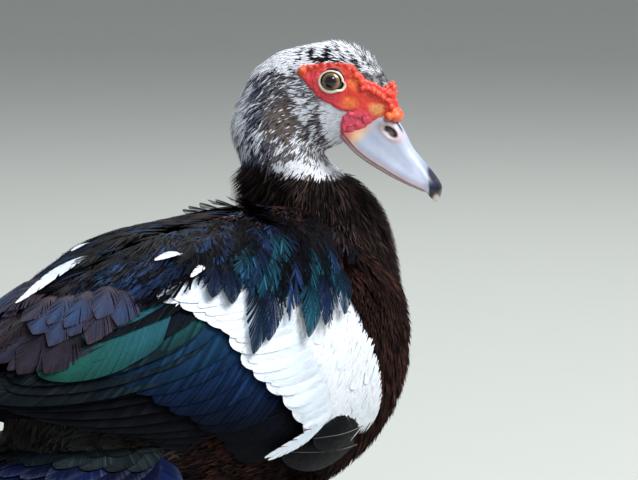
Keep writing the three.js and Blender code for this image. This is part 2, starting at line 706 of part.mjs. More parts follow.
const torsoGrown = torsoForm(GAP);
const neckGrown = neckForm(GAP);
const clearOfBody = (body) => body.subtract(torsoGrown).subtract(neckGrown);
const ownSide = (body, side) =>
  largest(trim(clearOfBody(body), new THREE.Vector3(0, side * GAP, 0), new THREE.Vector3(0, side, 0)));

add("torso", torso, "plumage");
add("neck", neck, "plumage");
add("tail", largest(tailForm().subtract(torsoGrown)), "gloss");
add("head", head, "headPlumage", headGroup);
add("bill_upper", billUpper, "bill", headGroup);
add("bill_nail", billNail, "nail", headGroup);
add("bill_lower", billLower, "bill", headGroup);
for (const [side, word] of [[RIGHT, "right"], [LEFT, "left"]]) {
  add("eye_" + word, ball(eyeAt(side), EYE_RADIUS, 14, 8), "eye", headGroup);
  add("wing_" + word, ownSide(wing(side), side), "wing");
  add("mantle_" + word, ownSide(mantle(side), side), "gloss");
  add("thigh_" + word, largest(thigh(side).subtract(torsoGrown)), "plumage", legGroups.get(side));
  add("shank_" + word, shank(side), "leg", legGroups.get(side));
  add("foot_" + word, foot(side), "leg", legGroups.get(side));
}

// The origin lies on the floor, under the middle of the bird
const reach = new THREE.Box3().setFromObject(bird, true);
const middle = reach.getCenter(new THREE.Vector3());
bird.position.set(-middle.x, -middle.y, -reach.min.z);

export default bird;
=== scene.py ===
"""Muscovy duck, life size, standing with its head turned back over its right side.

Forms are worked out in millimetres in the same named sizes as the solids, heights and all, and moved into
the shared frame in metres. One skin carries the coat: small plumes grow from it as closed tufts, and the
wings, shoulders and tail are rows of large feathers, each a shaft with its barbs in groups.
"""

from __future__ import annotations

import logging
import math
from dataclasses import dataclass
from enum import Enum
from typing import Callable

import bpy
import numpy as np
from mathutils import Matrix, Vector
from mathutils.bvhtree import BVHTree

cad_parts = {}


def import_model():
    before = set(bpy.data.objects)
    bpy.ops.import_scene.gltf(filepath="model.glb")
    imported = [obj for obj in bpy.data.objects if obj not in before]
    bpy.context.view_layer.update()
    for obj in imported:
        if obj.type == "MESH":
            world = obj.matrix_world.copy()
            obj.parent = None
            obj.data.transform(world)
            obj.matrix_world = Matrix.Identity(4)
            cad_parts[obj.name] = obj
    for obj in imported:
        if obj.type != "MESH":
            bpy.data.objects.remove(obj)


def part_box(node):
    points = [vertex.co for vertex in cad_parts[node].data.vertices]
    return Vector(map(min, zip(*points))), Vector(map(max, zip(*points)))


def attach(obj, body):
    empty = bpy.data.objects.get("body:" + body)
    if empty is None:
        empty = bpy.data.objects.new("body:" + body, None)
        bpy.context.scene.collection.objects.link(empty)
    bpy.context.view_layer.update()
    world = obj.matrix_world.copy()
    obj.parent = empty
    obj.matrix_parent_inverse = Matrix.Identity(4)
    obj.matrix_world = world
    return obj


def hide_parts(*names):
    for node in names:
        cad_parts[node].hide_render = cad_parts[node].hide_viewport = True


log = logging.getLogger("muscovy_duck")
Array = np.ndarray
RAISE = 22.0  # mm from the floor to the level that the forms' heights are counted from
SPINE = 157.0  # mm from that level up to the middle of the body
UP = np.array([0.0, 0.0, 1.0])
SHIFT = np.zeros(3)  # mm from the forms' origin to the shared frame's, set once the frame is loaded
VANE_SPAN = 100.0  # mm that the feathers' own map spans
FEATHER_PATCH = (0.004, 0.012)  # half width and length of one feather's place on the map OFBake
TUFT_PATCH = 0.0015  # length of one plume's place there


class Side(Enum):
    """The bird's own sides, as the sign of y."""

    RIGHT = -1
    LEFT = 1

    @property
    def label(self) -> str:
        """How the names of its pieces end."""
        return self.name.lower()


def smooth(low: float, high: float, x: Array) -> Array:
    """Eases from 0 at low to 1 at high."""
    t = np.clip((np.asarray(x, float) - low) / (high - low), 0.0, 1.0)
    return t * t * (3 - 2 * t)


def unit(v: Array) -> Array:
    """Vectors of length one."""
    return v / np.maximum(np.linalg.norm(v, axis=-1, keepdims=True), 1e-9)


def dot(a: Array, b: Array) -> Array:
    """Row by row dot product, with the last axis kept."""
    return (a * b).sum(-1, keepdims=True)


def squarish(v: Array, n: float) -> Array:
    """A cosine or sine bent so that a round section grows squarer as n grows from 2."""
    return np.sign(v) * np.abs(v) ** (2.0 / n)


def inside(outline_points: Array, x: Array, z: Array) -> Array:
    """Whether places lie inside a closed outline.

    Args:
        outline_points: the outline's corners.
        x: first values of the places.
        z: second values.
    Returns:
        Whether, for each place.
    """
    px, pz = np.array(outline_points, float).T
    qx, qz = np.roll(px, -1), np.roll(pz, -1)
    x, z = x[..., None], z[..., None]
    crosses = ((pz > z) != (qz > z)) & (x < (qx - px) * (z - pz) / np.where(qz == pz, 1e-9, qz - pz) + px)
    return crosses.sum(-1) % 2 == 1


def through(knots: list[tuple[float, float]], x: Array) -> Array:
    """A smooth curve through knots, held level past its ends.

    Args:
        knots: pairs of place and value, in rising order.
        x: places to read.
    Returns:
        The values there.
    """
    xs, ys = np.array(knots, float).T
    slope = np.diff(ys) / np.diff(xs)
    tangent = np.concatenate([slope[:1], (slope[:-1] + slope[1:]) / 2, slope[-1:]])
    at = np.clip(np.asarray(x, float), xs[0], xs[-1])
    i = np.clip(np.searchsorted(xs, at, side="right") - 1, 0, len(xs) - 2)
    h = xs[i + 1] - xs[i]
    return hermite((at - xs[i]) / h, ys[i], ys[i + 1], h, tangent[i], tangent[i + 1])


def hermite(t: Array, a: Array, b: Array, reach: Array, start: Array, end: Array) -> Array:
    """The cubic from a to b, reach apart, that leaves along start and comes in along end, t from 0 to 1."""
    first = (2 * t**3 - 3 * t**2 + 1) * a + (t**3 - 2 * t**2 + t) * reach * start
    return first + (3 * t**2 - 2 * t**3) * b + (t**3 - t**2) * reach * end


def round_angles(count: int) -> Array:
    """Even angles once round."""
    return np.linspace(0, 2 * math.pi, count + 1)[:-1]


def rotated(v: Array, degrees: float) -> Array:
    """Turns vectors about the vertical."""
    c, s = math.cos(math.radians(degrees)), math.sin(math.radians(degrees))
    return v @ np.array([[c, s, 0], [-s, c, 0], [0, 0, 1.0]])


def cell_key(cell: Array) -> Array:
    """A scattered number for each cell of a lattice."""
    return (cell[..., 0] * 73856093) ^ (cell[..., 1] * 19349663) ^ (cell[..., 2] * 83492791)


def grain(points: Array, size: float, seed: int = 0) -> Array:
    """Soft cloudy noise from 0 to 1 on a lattice.

    Args:
        points: places in mm.
        size: lattice spacing in mm.
        seed: picks another pattern.
    Returns:
        One value for each point.
    """
    p = points / size + 1000.0 + seed * 17.31
    cell = np.floor(p).astype(np.int64)
    f = p - cell
    f = f * f * (3 - 2 * f)
    total = np.zeros(p.shape[:-1])
    for corner in range(8):
        o = np.array([corner & 1, corner >> 1 & 1, corner >> 2])
        key = cell_key(cell + o) ^ (seed * 2654435)
        value = ((key * 1103515245 + 12345) >> 8 & 0xFFFF) / 65535.0
        total += value * np.prod(np.where(o == 1, f, 1 - f), axis=-1)
    return total


def linear(colour: str) -> Array:
    """An sRGB hex colour as linear values."""
    c = np.array([int(colour[i : i + 2], 16) / 255 for i in (1, 3, 5)])
    return np.where(c <= 0.04045, c / 12.92, ((c + 0.055) / 1.055) ** 2.4)


def blend(a: Array, b: Array | str, t: Array) -> Array:
    """Mixes two colours or rows of colours, the second maybe an sRGB hex value.

    Args:
        a: what t 0 gives.
        b: what t 1 gives.
        t: shares from 0 to 1.
    Returns:
        The mixed colours.
    """
    t = np.asarray(t, float)[..., None]
    return a * (1 - t) + (linear(b) if isinstance(b, str) else b) * t


# The forms of flesh


@dataclass(frozen=True)
class Trunk:
    """A closed form along x: angle 0 on its back, with its own heights over and under a spine.

    square is how square its section is, from 2 up, and raised the height of its frame's zero level.
    """

    rear: float
    front: float
    spine: tuple
    up: tuple
    down: tuple
    half: tuple
    square: float
    raised: float = 0.0

    def ease(self, x: Array, grow: float = 0.0) -> Array:
        """Share of the full section that is left at x, as the form closes at both ends."""
        middle, reach = (self.front + self.rear) / 2, (self.front - self.rear) / 2 + grow
        return np.sqrt(np.clip(1 - ((x - middle) / reach) ** 2, 0, 1))

    def tall(self, x: Array, upper: Array) -> Array:
        """Full height at x over the spine, or under it."""
        return np.where(upper, through(self.up, x), through(self.down, x))

    def point(self, x: Array, angle: Array, grow: float = 0.0) -> Array:
        """A place on the form in its own frame.

        Args:
            x: how far forwards.
            angle: how far round from the back.
            grow: how far out from the form, in mm.
        Returns:
            The place.
        """
        s, c = squarish(np.sin(angle), self.square), squarish(np.cos(angle), self.square)
        e = self.ease(x, grow)
        y = -(through(self.half, x) * e + grow) * s
        z = through(self.spine, x) + self.raised + (self.tall(x, c > 0) * e + grow) * c
        return np.stack([x + 0 * s, y, z], -1)


@dataclass(frozen=True)
class HeadForm(Trunk):
    """The skull in its own frame: x to the bill, y to the head's left, z up, turned and set on the neck."""

    rear: float = -38.0
    front: float = 58.0
    spine: tuple = ((-38, -2), (-22, 4), (0, 11), (20, 15), (45, 14.5), (58, 10))
    up: tuple = ((-38, 42), (-22, 41), (0, 34), (20, 33), (45, 33), (58, 28))
    down: tuple = ((-38, 40), (-22, 38), (0, 34), (20, 32), (45, 26), (58, 20))
    half: tuple = ((-38, 25), (-20, 24), (0, 21.5), (20, 19.5), (45, 17), (58, 15))
    square: float = 2.1
    yaw: float = -64.0
    at: tuple = (83.0, -1.0, 291.6 + RAISE)
    eye: tuple = (22.0, 12.4, 25.0)
    eye_radius: float = 8.5

    def place(self, local: Array) -> Array:
        """From the head's frame to the bird's."""
        return self.turned(local) + np.array(self.at)

    def local(self, points: Array) -> Array:
        """From the bird's frame to the head's."""
        return rotated(points - np.array(self.at), -self.yaw)

    def turned(self, v: Array) -> Array:
        """A direction of the head's frame in the bird's."""
        return rotated(np.asarray(v, float), self.yaw)

    def point(self, x: Array, angle: Array, grow: float = 0.0) -> Array:
        """A place on the skull, in the bird's frame."""
        return self.place(super().point(x, angle, grow))

    def width_at(self, x: Array, z: Array) -> Array:
        """Half width of the skull at a place seen from the side.

        Args:
            x: how far forwards.
            z: how high.
        Returns:
            The half width in mm.
        """
        e = np.maximum(self.ease(x), 1e-3)
        rise = z - through(self.spine, x)
        c = np.clip(np.abs(rise) / (self.tall(x, rise > 0) * e), 0, 0.999) ** (self.square / 2)
        return through(self.half, x) * e * squarish(np.sqrt(1 - c * c), self.square)


@dataclass(frozen=True)
class NeckForm:
    """The neck: rings of height, centre x and y, half depth and half width, that turn towards the head."""

    rings: tuple = (
        (150, 92, 0, 50, 52), (185, 95, 0, 50, 54), (212, 97, 0, 47, 50), (229, 98, 0, 43, 44),
        (239, 98, 0.5, 39, 40), (251, 92, 3, 34.5, 35), (261, 85, 6, 29, 30), (271, 79, 9, 25.8, 27),
        (285, 76, 12, 26, 26), (300, 78, 10, 25, 23), (316, 82, 6, 15, 14),
    )
    turn: tuple = ((150, 0), (212, -8), (250, -35), (285, -64))

    def column(self, k: int, z: Array) -> Array:
        """One size of the rings at height z."""
        return through([(row[0], row[k]) for row in self.rings], z)

    def point(self, z: Array, angle: Array, grow: float = 0.0) -> Array:
        """A place on the neck, angle 0 in front.

        Args:
            z: the height.
            angle: how far round.
            grow: how far out from the form, in mm.
        Returns:
            The place, in the bird's frame.
        """
        turn = np.radians(through(self.turn, z))
        fore, left = (self.column(3, z) + grow) * np.cos(angle), (self.column(4, z) + grow) * np.sin(angle)
        x = self.column(1, z) + fore * np.cos(turn) - left * np.sin(turn)
        y = self.column(2, z) + fore * np.sin(turn) + left * np.cos(turn)
        return np.stack([x, y, z + RAISE + 0 * x], -1)


@dataclass(frozen=True)
class TorsoForm(Trunk):
    """The body without wings."""

    rear: float = -165.0
    front: float = 148.0
    spine: tuple = ((-165, 128), (-110, 138), (-60, 148), (0, 157), (60, 160), (100, 164), (148, 172))
    up: tuple = ((-165, 60), (-110, 82), (-60, 86), (0, 80), (60, 84), (100, 96), (148, 92))
    down: tuple = ((-165, 44), (-110, 58), (-60, 76), (0, 84), (60, 90), (100, 96), (148, 98))
    half: tuple = ((-165, 62), (-110, 70), (-60, 77), (0, 80), (60, 84), (100, 90), (148, 92))
    square: float = 2.15
    raised: float = RAISE


@dataclass(frozen=True)
class WingForm:
    """The outer surface of the folded wings, as a chart of x and an angle that is 0 on the back."""

    spine: tuple = ((-250, 160), (-200, 160), (-140, 158), (-60, 158), (0, 158), (60, 160), (110, 164))
    up: tuple = (
        (-250, 24), (-200, 40), (-140, 60), (-100, 72), (-60, 82), (0, 86), (50, 86), (85, 82), (110, 70),
    )
    half: tuple = ((-250, 18), (-200, 38), (-140, 62), (-60, 84), (0, 92), (50, 86), (80, 75), (105, 60))

    def point(self, x: Array, degrees: Array, lift: Array, side: Side) -> Array:
        """A place over one wing, lift mm out from its surface.

        Args:
            x: how far forwards.
            degrees: how far down from the back.
            lift: mm over the surface.
            side: the side of the bird.
        Returns:
            The place.
        """
        a = np.radians(degrees)
        s, c = squarish(np.sin(a), 2.15), squarish(np.cos(a), 2.15)
        y = side.value * (through(self.half, x) + lift) * s
        z = through(self.spine, x) + RAISE + (through(self.up, x) + lift) * c
        return np.stack([x + 0 * y, y, z], -1)

    def outwards(self, x: Array, degrees: Array, side: Side) -> Array:
        """The direction straight out of the wing's surface.

        Args:
            x: how far forwards.
            degrees: how far down from the back.
            side: the side of the bird.
        Returns:
            The direction.
        """
        along = self.point(x + 1, degrees, 0, side) - self.point(x - 1, degrees, 0, side)
        across = self.point(x, degrees + 1, 0, side) - self.point(x, degrees - 1, 0, side)
        return unit(np.cross(along, across)) * side.value

    def flat(self, place: Array) -> Array:
        """Where rows of x and degrees lie on the map OFBake."""
        return np.stack([0.04 + 0.92 * (place[:, 0] + 120) / 200, 0.05 + 0.9 * place[:, 1] / 130], -1)


HEAD, NECK, TORSO, WING = HeadForm(), NeckForm(), TorsoForm(), WingForm()


def frame_shift() -> Array:
    """How far, in mm, the shared frame lies from the forms' own origin: read off the right eye's solid."""
    low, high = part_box("eye_right")
    x, y, z = HEAD.eye
    return (np.array(low) + np.array(high)) * 500 - HEAD.place([x, Side.RIGHT.value * y, z])


# Finishes


def add_node(tree: bpy.types.NodeTree, kind: str, inputs: dict, **settings: str) -> bpy.types.NodeOutputs:
    """Adds one node.

    Args:
        tree: where it goes.
        kind: its type, without the ShaderNode that all of them start with.
        inputs: values or other nodes' outputs for its sockets, by name or number.
        settings: properties to set.
    Returns:
        Its outputs.
    """
    node = tree.nodes.new("ShaderNode" + kind)
    for name, value in settings.items():
        setattr(node, name, value)
    for key, value in inputs.items():
        if isinstance(value, bpy.types.NodeSocket):
            tree.links.new(value, node.inputs[key])
        else:
            node.inputs[key].default_value = value
    return node.outputs


class Pattern(Enum):
    """What a finish's bump follows."""

    BARBS = "barbs"
    PORES = "pores"
    SCALES = "scales"


@dataclass(frozen=True)
class Finish:
    """A surface whose colour is painted on the mesh as the attribute Tint.

    pitch is the real spacing in mm of what the bump shows, and relief its depth in mm.
    """

    name: str
    pattern: Pattern
    pitch: float
    relief: float
    roughness: float
    ior: float = 1.55
    coat: float = 0.0
    flesh: float = 0.0
    mottle_and_shade: float = 0.12
    specular: float = 0.5
    gloss: str = "#ffffff"

    def material(self) -> bpy.types.Material:
        """Makes the material once and hands out the same one after that."""
        found = bpy.data.materials.get(self.name)
        if found:
            return found
        made = bpy.data.materials.new(self.name)
        made.use_nodes = True
        tree = made.node_tree
        tree.nodes.clear()
        tint = add_node(tree, "Attribute", {}, attribute_name="Tint")["Color"]
        height = getattr(self, self.pattern.value)(tree)
        place = add_node(tree, "TexCoord", {})["Object"]
        cloud = add_node(tree, "TexNoise", {"Vector": place, "Scale": 420.0, "Detail": 3.0})[0]
        # Colour follows a random cloud and the bump's height: random blotches, with painted shade in the
        # bump's low places
        both = add_node(tree, "Math", {0: cloud, 1: height}, operation="ADD")[0]
        shades = {0: both, 1: 0.3, 2: 1.7, 3: 1 - self.mottle_and_shade, 4: 1 + self.mottle_and_shade}
        shade = add_node(tree, "MapRange", shades)[0]
        colour = add_node(tree, "VectorMath", {0: tint, "Scale": shade}, operation="SCALE")[0]
        worn = {0: cloud, 1: 0.3, 2: 0.7, 3: self.roughness * 0.85, 4: self.roughness * 1.15}
        rough = add_node(tree, "MapRange", worn)[0]
        bump = add_node(tree, "Bump", {"Strength": 0.55, "Distance": self.relief / 1000, "Height": height})[0]
        sockets = {
            "Base Color": colour, "Roughness": rough, "Normal": bump, "IOR": self.ior,
            "Coat Weight": self.coat, "Coat Roughness": 0.12, "Subsurface Weight": self.flesh,
            "Subsurface Radius": (0.0022, 0.0009, 0.0006), "Subsurface Scale": 1.0,
            "Specular IOR Level": self.specular, "Specular Tint": (*linear(self.gloss), 1.0),
        }
        add_node(tree, "OutputMaterial", {"Surface": add_node(tree, "BsdfPrincipled", sockets)[0]})
        return made

    def barbs(self, tree: bpy.types.NodeTree) -> bpy.types.NodeSocket:
        """Fine ridges that run out from the shaft towards the tip, on the feather's own map in mm.

        Args:
            tree: the material's nodes.
        Returns:
            The height of the ridges, from 0 to 1.
        """
        parts = add_node(tree, "SeparateXYZ", {0: add_node(tree, "UVMap", {}, uv_map="Vane")[0]})
        out = add_node(tree, "Math", {0: parts[0]}, operation="ABSOLUTE")[0]
        slant = add_node(tree, "Math", {0: out, 1: -1.1, 2: parts[1]}, operation="MULTIPLY_ADD")[0]
        turns = VANE_SPAN * 2 * math.pi / self.pitch
        phase = add_node(tree, "Math", {0: slant, 1: turns}, operation="MULTIPLY")[0]
        wave = add_node(tree, "Math", {0: phase}, operation="SINE")[0]
        return add_node(tree, "MapRange", {0: wave, 1: -1.0, 2: 1.0})[0]

    def cells(self) -> float:
        """How many of the pattern's cells a metre holds."""
        return 1000 / self.pitch

    def pores(self, tree: bpy.types.NodeTree) -> bpy.types.NodeSocket:
        """Fine grain of bare skin and horn."""
        place = add_node(tree, "TexCoord", {})["Object"]
        return add_node(tree, "TexNoise", {"Vector": place, "Scale": self.cells(), "Detail": 4.0})[0]

    def scales(self, tree: bpy.types.NodeTree) -> bpy.types.NodeSocket:
        """Small plates side by side with sunk lines between them.

        Args:
            tree: the material's nodes.
        Returns:
            The height of the plates, from 0 to 1.
        """
        place = {"Vector": add_node(tree, "TexCoord", {})["Object"], "Scale": self.cells()}
        edge = add_node(tree, "TexVoronoi", place, feature="DISTANCE_TO_EDGE")["Distance"]
        return add_node(tree, "MapRange", {0: edge, 1: 0.0, 2: 0.16})[0]


# Keratin barbs, matt and soft; real barbs stand 0.35 mm apart and are drawn at 0.9 mm so that they show
BODY_PLUMES = Finish("matt_keratin_plumes", Pattern.BARBS, 0.9, 0.12, 0.55, mottle_and_shade=0.2, specular=0.025)
# The head's plumes are so fine that they look even and soft
HEAD_PLUMES = Finish(
    "fine_keratin_plumes", Pattern.BARBS, 0.5, 0.02, 0.6, flesh=0.12, mottle_and_shade=0.08, specular=0.06
)
# The same keratin, with a film under its surface that turns the gloss blue and green
GLOSS_FEATHERS = Finish(
    "glossy_keratin_feathers", Pattern.BARBS, 1.0, 0.16, 0.42, mottle_and_shade=0.3, specular=0.02, gloss="#8fb8ff"
)
# White barbs let light in, and look soft and even
WHITE_FEATHERS = Finish(
    "white_keratin_feathers", Pattern.BARBS, 1.0, 0.1, 0.6, flesh=0.3, mottle_and_shade=0.05, specular=0.2
)
# Skin under the plumes: grey, dry and finely pored
COAT_SKIN = Finish("feathered_skin", Pattern.PORES, 1.4, 0.2, 0.75, ior=1.4)
# Bare swollen skin, moist, with blood under it
BARE_SKIN = Finish(
    "bare_red_skin", Pattern.PORES, 0.9, 0.22, 0.42, ior=1.42, coat=0.15, flesh=0.25, mottle_and_shade=0.2
)
LID_SKIN = Finish("pale_lid_skin", Pattern.PORES, 0.6, 0.1, 0.4, ior=1.42, coat=0.25, flesh=0.15)
# Horn of the bill: smooth, waxy, worn dull in fine grains
BILL_HORN = Finish("waxy_bill_horn", Pattern.PORES, 2.2, 0.12, 0.36, ior=1.54, flesh=0.08, mottle_and_shade=0.07)
NAIL_HORN = Finish("black_nail_horn", Pattern.PORES, 1.2, 0.08, 0.26, ior=1.54)
# Cornea over iris: wet, clear and very glossy
WET_EYE = Finish("wet_eye", Pattern.PORES, 0.5, 0.02, 0.12, ior=1.38, coat=1.0, mottle_and_shade=0.1)
LEG_SCALES = Finish("leathery_leg_scales", Pattern.SCALES, 2.1, 0.35, 0.5, ior=1.5, mottle_and_shade=0.25)
CLAW_HORN = Finish("claw_horn", Pattern.PORES, 0.8, 0.05, 0.3, ior=1.54)
# Matt paint
FLOOR_PAINT = Finish("matt_floor_paint", Pattern.PORES, 60.0, 0.02, 0.9, ior=1.5, mottle_and_shade=0.02)


# Meshes


class MeshMaker:
    """Gathers points in mm, faces, tints and maps, and makes one object of them."""

    def __init__(self) -> None:
        """Starts empty."""
        self.points: list[Array] = []
        self.faces: list[Array] = []
        self.tints: list[Array] = []
        self.patches: list[Array] = []
        self.vanes: list[Array] = []
        self.soft: list[Array] = []
        self.count = 0

    def add(
        self, points: Array, faces: list[Array], tint: Array, patch: Array | None = None,
        vane: Array | None = None, soft: bool = True,
    ) -> None:
        """Adds a batch.

        Args:
            points: (..., 3) places in mm.
            faces: arrays of three or four point numbers a row.
            tint: one linear colour, or one for each point.
            patch: the points' places on the map OFBake.
            vane: their places on the feather's own map, in mm.
            soft: whether its faces are shaded as one round form. Thin blades look brighter when they aren't.
        """
        points = points.reshape(-1, 3)
        n = len(points)
        faces = [np.asarray(f).reshape(-1, np.shape(f)[-1]) + self.count for f in faces]
        self.soft += [np.full(len(f), soft) for f in faces]
        self.faces += faces
        self.points.append(points)
        self.tints.append(np.broadcast_to(tint.reshape(-1, 3), (n, 3)))
        for maps, places in ((self.patches, patch), (self.vanes, vane)):
            maps.append(np.zeros((n, 2)) if places is None else places.reshape(-1, 2))
        self.count += n

    def build(self, name: str, finish: Finish, own_map: Callable | None = None) -> bpy.types.Object:
        """Makes the object.

        Args:
            name: its name.
            finish: what it is made of.
            own_map: for a piece that isn't feathers, gives each face's corners their place on OFBake.
        Returns:
            The object, linked to the scene.
        """
        points = (np.concatenate(self.points) + SHIFT) / 1000
        mesh = bpy.data.meshes.new(name)
        sizes = np.concatenate([np.full(len(f), f.shape[1]) for f in self.faces])
        corners = np.concatenate([f.ravel() for f in self.faces])
        mesh.vertices.add(len(points))
        mesh.vertices.foreach_set("co", points.ravel())
        mesh.loops.add(len(corners))
        mesh.loops.foreach_set("vertex_index", corners.astype(np.int32))
        mesh.polygons.add(len(sizes))
        mesh.polygons.foreach_set("loop_start", (np.cumsum(sizes) - sizes).astype(np.int32))
        mesh.update(calc_edges=True)
        mesh.validate()
        mesh.polygons.foreach_set("use_smooth", np.concatenate(self.soft)[: len(mesh.polygons)])
        paint(mesh, np.concatenate(self.tints))
        where = read(mesh.loops, "vertex_index", 1, np.int32)
        for label, values in (("OFBake", self.patches), ("Vane", self.vanes)):
            write_map(mesh, label, np.concatenate(values)[where])
        made = bpy.data.objects.new(name, mesh)
        bpy.context.scene.collection.objects.link(made)
        mesh.materials.append(finish.material())
        if own_map:
            own_map(made)
        return made


def read(items: bpy.types.bpy_prop_collection, name: str, width: int = 1, kind: type = np.float32) -> Array:
    """One property of all items of a mesh.

    Args:
        items: such as its vertices or loops.
        name: the property.
        width: how many numbers each item has.
        kind: the numbers' type.
    Returns:
        An array, with a row for each item where width isn't 1.
    """
    flat = np.empty(len(items) * width, kind)
    items.foreach_get(name, flat)
    return flat if width == 1 else flat.reshape(-1, width)


def dress(mesh: bpy.types.Mesh, finish: Finish, tint: Array) -> None:
    """Gives a mesh its finish and its colours.

    Args:
        mesh: what is dressed.
        finish: what it is made of.
        tint: one linear colour, or one for each point.
    """
    mesh.materials.clear()
    mesh.materials.append(finish.material())
    paint(mesh, tint)


def paint(mesh: bpy.types.Mesh, tint: Array) -> None:
    """Writes colours to the mesh's points.

    Args:
        mesh: what is coloured.
        tint: one linear colour, or one for each point.
    """
    layer = mesh.color_attributes.get("Tint") or mesh.color_attributes.new("Tint", "FLOAT_COLOR", "POINT")
    values = np.ones((len(mesh.vertices), 4), np.float32)
    values[:, :3] = np.broadcast_to(tint, (len(mesh.vertices), 3))
    layer.data.foreach_set("color", values.ravel())


def write_map(mesh: bpy.types.Mesh, name: str, places: Array) -> None:
    """Writes the corners' places on one of the mesh's maps."""
    layer = mesh.uv_layers.get(name) or mesh.uv_layers.new(name=name)
    layer.uv.foreach_set("vector", places.astype(np.float32).ravel())


def places_of(mesh: bpy.types.Mesh) -> Array:
    """The mesh's points in the forms' own mm."""
    return read(mesh.vertices, "co", 3).astype(float) * 1000 - SHIFT


def tube(rings: Array, closed: bool = True) -> tuple[Array, list[Array]]:
    """A closed skin through rings of points.

    Args:
        rings: (rings, points, 3).
        closed: whether each ring runs round, or is an open line.
    Returns:
        Points and faces.
    """
    n, m = rings.shape[:2]
    i, j = np.meshgrid(np.arange(n - 1), np.arange(m if closed else m - 1), indexing="ij")
    k = (j + 1) % m
    quads = np.stack([i * m + j, i * m + k, (i + 1) * m + k, (i + 1) * m + j], -1).reshape(-1, 4)
    points = rings.reshape(-1, 3)
    if not closed:
        return points, [quads]
    ends = np.stack([rings[0].mean(0), rings[-1].mean(0)])
    a = np.arange(m)
    b = (a + 1) % m
    first = np.stack([b, a, np.full(m, n * m)], -1)
    last = np.stack([(n - 1) * m + a, (n - 1) * m + b, np.full(m, n * m + 1)], -1)
    return np.concatenate([points, ends]), [quads, first, last]


def fused(name: str, shells: list[tuple[Array, list[Array]]], voxel: float, rounds: int) -> bpy.types.Object:
    """Joins closed shells into one even skin.

    Args:
        name: the piece's name.
        shells: points and faces of each shell.
        voxel: size in mm of the skin's faces.
        rounds: how often the skin is smoothed.
    Returns:
        The object, not yet painted.
    """
    maker = MeshMaker()
    for points, faces in shells:
        maker.add(points, faces, linear("#808080"))
    made = maker.build(name, COAT_SKIN)
    remesh = made.modifiers.new("Even", "REMESH")
    remesh.mode, remesh.voxel_size, remesh.use_smooth_shade = "VOXEL", voxel / 1000, True
    relax = made.modifiers.new("Relax", "SMOOTH")
    relax.iterations, relax.factor = rounds, 0.5
    even = bpy.data.meshes.new_from_object(made.evaluated_get(bpy.context.evaluated_depsgraph_get()))
    made.modifiers.clear()
    rough, made.data = made.data, even
    bpy.data.meshes.remove(rough)
    return made


def balls(centres: Array, radii: Array, detail: int = 2) -> tuple[Array, list[Array]]:
    """Round lumps, all in one batch.

    Args:
        centres: (n, 3).
        radii: (n,).
        detail: how finely each is divided.
    Returns:
        Points and faces.
    """
    rings, around = 3 + 2 * detail, 6 + 3 * detail
    t = np.linspace(0, math.pi, rings + 2)[1:-1]
    a = round_angles(around)
    level = np.sin(t)[:, None]
    ball = np.stack([level * np.cos(a), level * np.sin(a), np.cos(t)[:, None] + 0 * a], -1)
    points, faces = tube(ball[:, ::-1])
    points[-2:] = [[0, 0, 1], [0, 0, -1]]
    start = (np.arange(len(centres)) * len(points))[:, None, None]
    return points * radii[:, None, None] + centres[:, None], [f + start for f in faces]


# Skin


class Region(Enum):
    """Parts of the skin, each with its own lie and markings."""

    HEAD = 0
    NECK = 1
    BODY = 2


def collar_height(points: Array) -> Array:
    """Distance in mm above the ring where head and neck meet."""
    tilt = unit(HEAD.turned([-0.18, 0, 0.98]))
    return (points - HEAD.place([0, 0, -36.0])) @ tilt


def ring_height(points: Array) -> Array:
    """Distance in mm above the lower edge of the white throat ring, which climbs towards the nape."""
    return collar_height(points) - 2.5 - 0.34 * np.clip(20 - HEAD.local(points)[..., 0], 0, 36)


def neck_root_height(points: Array) -> Array:
    """Distance in mm above the plane where neck and torso meet."""
    return (points - np.array([98, 0, 224 + RAISE])) @ unit(np.array([0.42, 0, 0.91]))


def region_of(points: Array) -> Array:
    """The number of the region that each point lies in."""
    upper = np.where(collar_height(points) > 0, Region.HEAD.value, Region.NECK.value)
    return np.where(neck_root_height(points) < 0, Region.BODY.value, upper)


def unwrap(points: Array, region: Array) -> Array:
    """Lays the skin flat: each region is rolled out round its own axis, in its own band of the map.

    Args:
        points: places in mm.
        region: the number of each point's region.
    Returns:
        Places on the map.
    """
    head = HEAD.local(points)
    neck_z = points[..., 2] - RAISE
    flat = np.empty(points.shape[:-1] + (2,))
    axes = {
        Region.HEAD.value: (head[..., 0], (-42, 62), head[..., 1], head[..., 2] - 11, (0.55, 1.0)),
        Region.NECK.value: (
            neck_z, (205, 320), points[..., 1] - NECK.column(2, neck_z),
            points[..., 0] - NECK.column(1, neck_z), (0.38, 0.54),
        ),
        Region.BODY.value: (
            points[..., 0], (-170, 155), points[..., 1], points[..., 2] - SPINE - RAISE, (0.0, 0.37),
        ),
    }
    for number, (along, (first, last), across, rise, (low, high)) in axes.items():
        u = np.clip((along - first) / (last - first), 0, 1)
        turn = np.arctan2(across, rise) / (2 * math.pi) + 0.5
        here = region == number
        flat[here] = np.stack([u, turn], -1)[here]
        flat[here, 1] = low + flat[here, 1] * (high - low)
    return flat


def lay_flat(made: bpy.types.Object) -> None:
    """Gives a skin piece its map OFBake, face by face, so that no face runs over a seam.

    Args:
        made: the piece.
    """
    mesh = made.data
    points = places_of(mesh)
    starts, totals = (read(mesh.polygons, name, 1, np.int32) for name in ("loop_start", "loop_total"))
    corners = read(mesh.loops, "vertex_index", 1, np.int32)
    face = np.repeat(np.arange(len(starts)), totals)
    region = region_of(points[corners[starts]])[face]
    flat = unwrap(points[corners], region)
    middle = flat[starts][face]
    band = np.array([0.45, 0.16, 0.37])[region]
    flat[:, 1] += band * np.round((middle[:, 1] - flat[:, 1]) / band)
    write_map(mesh, "OFBake", flat)


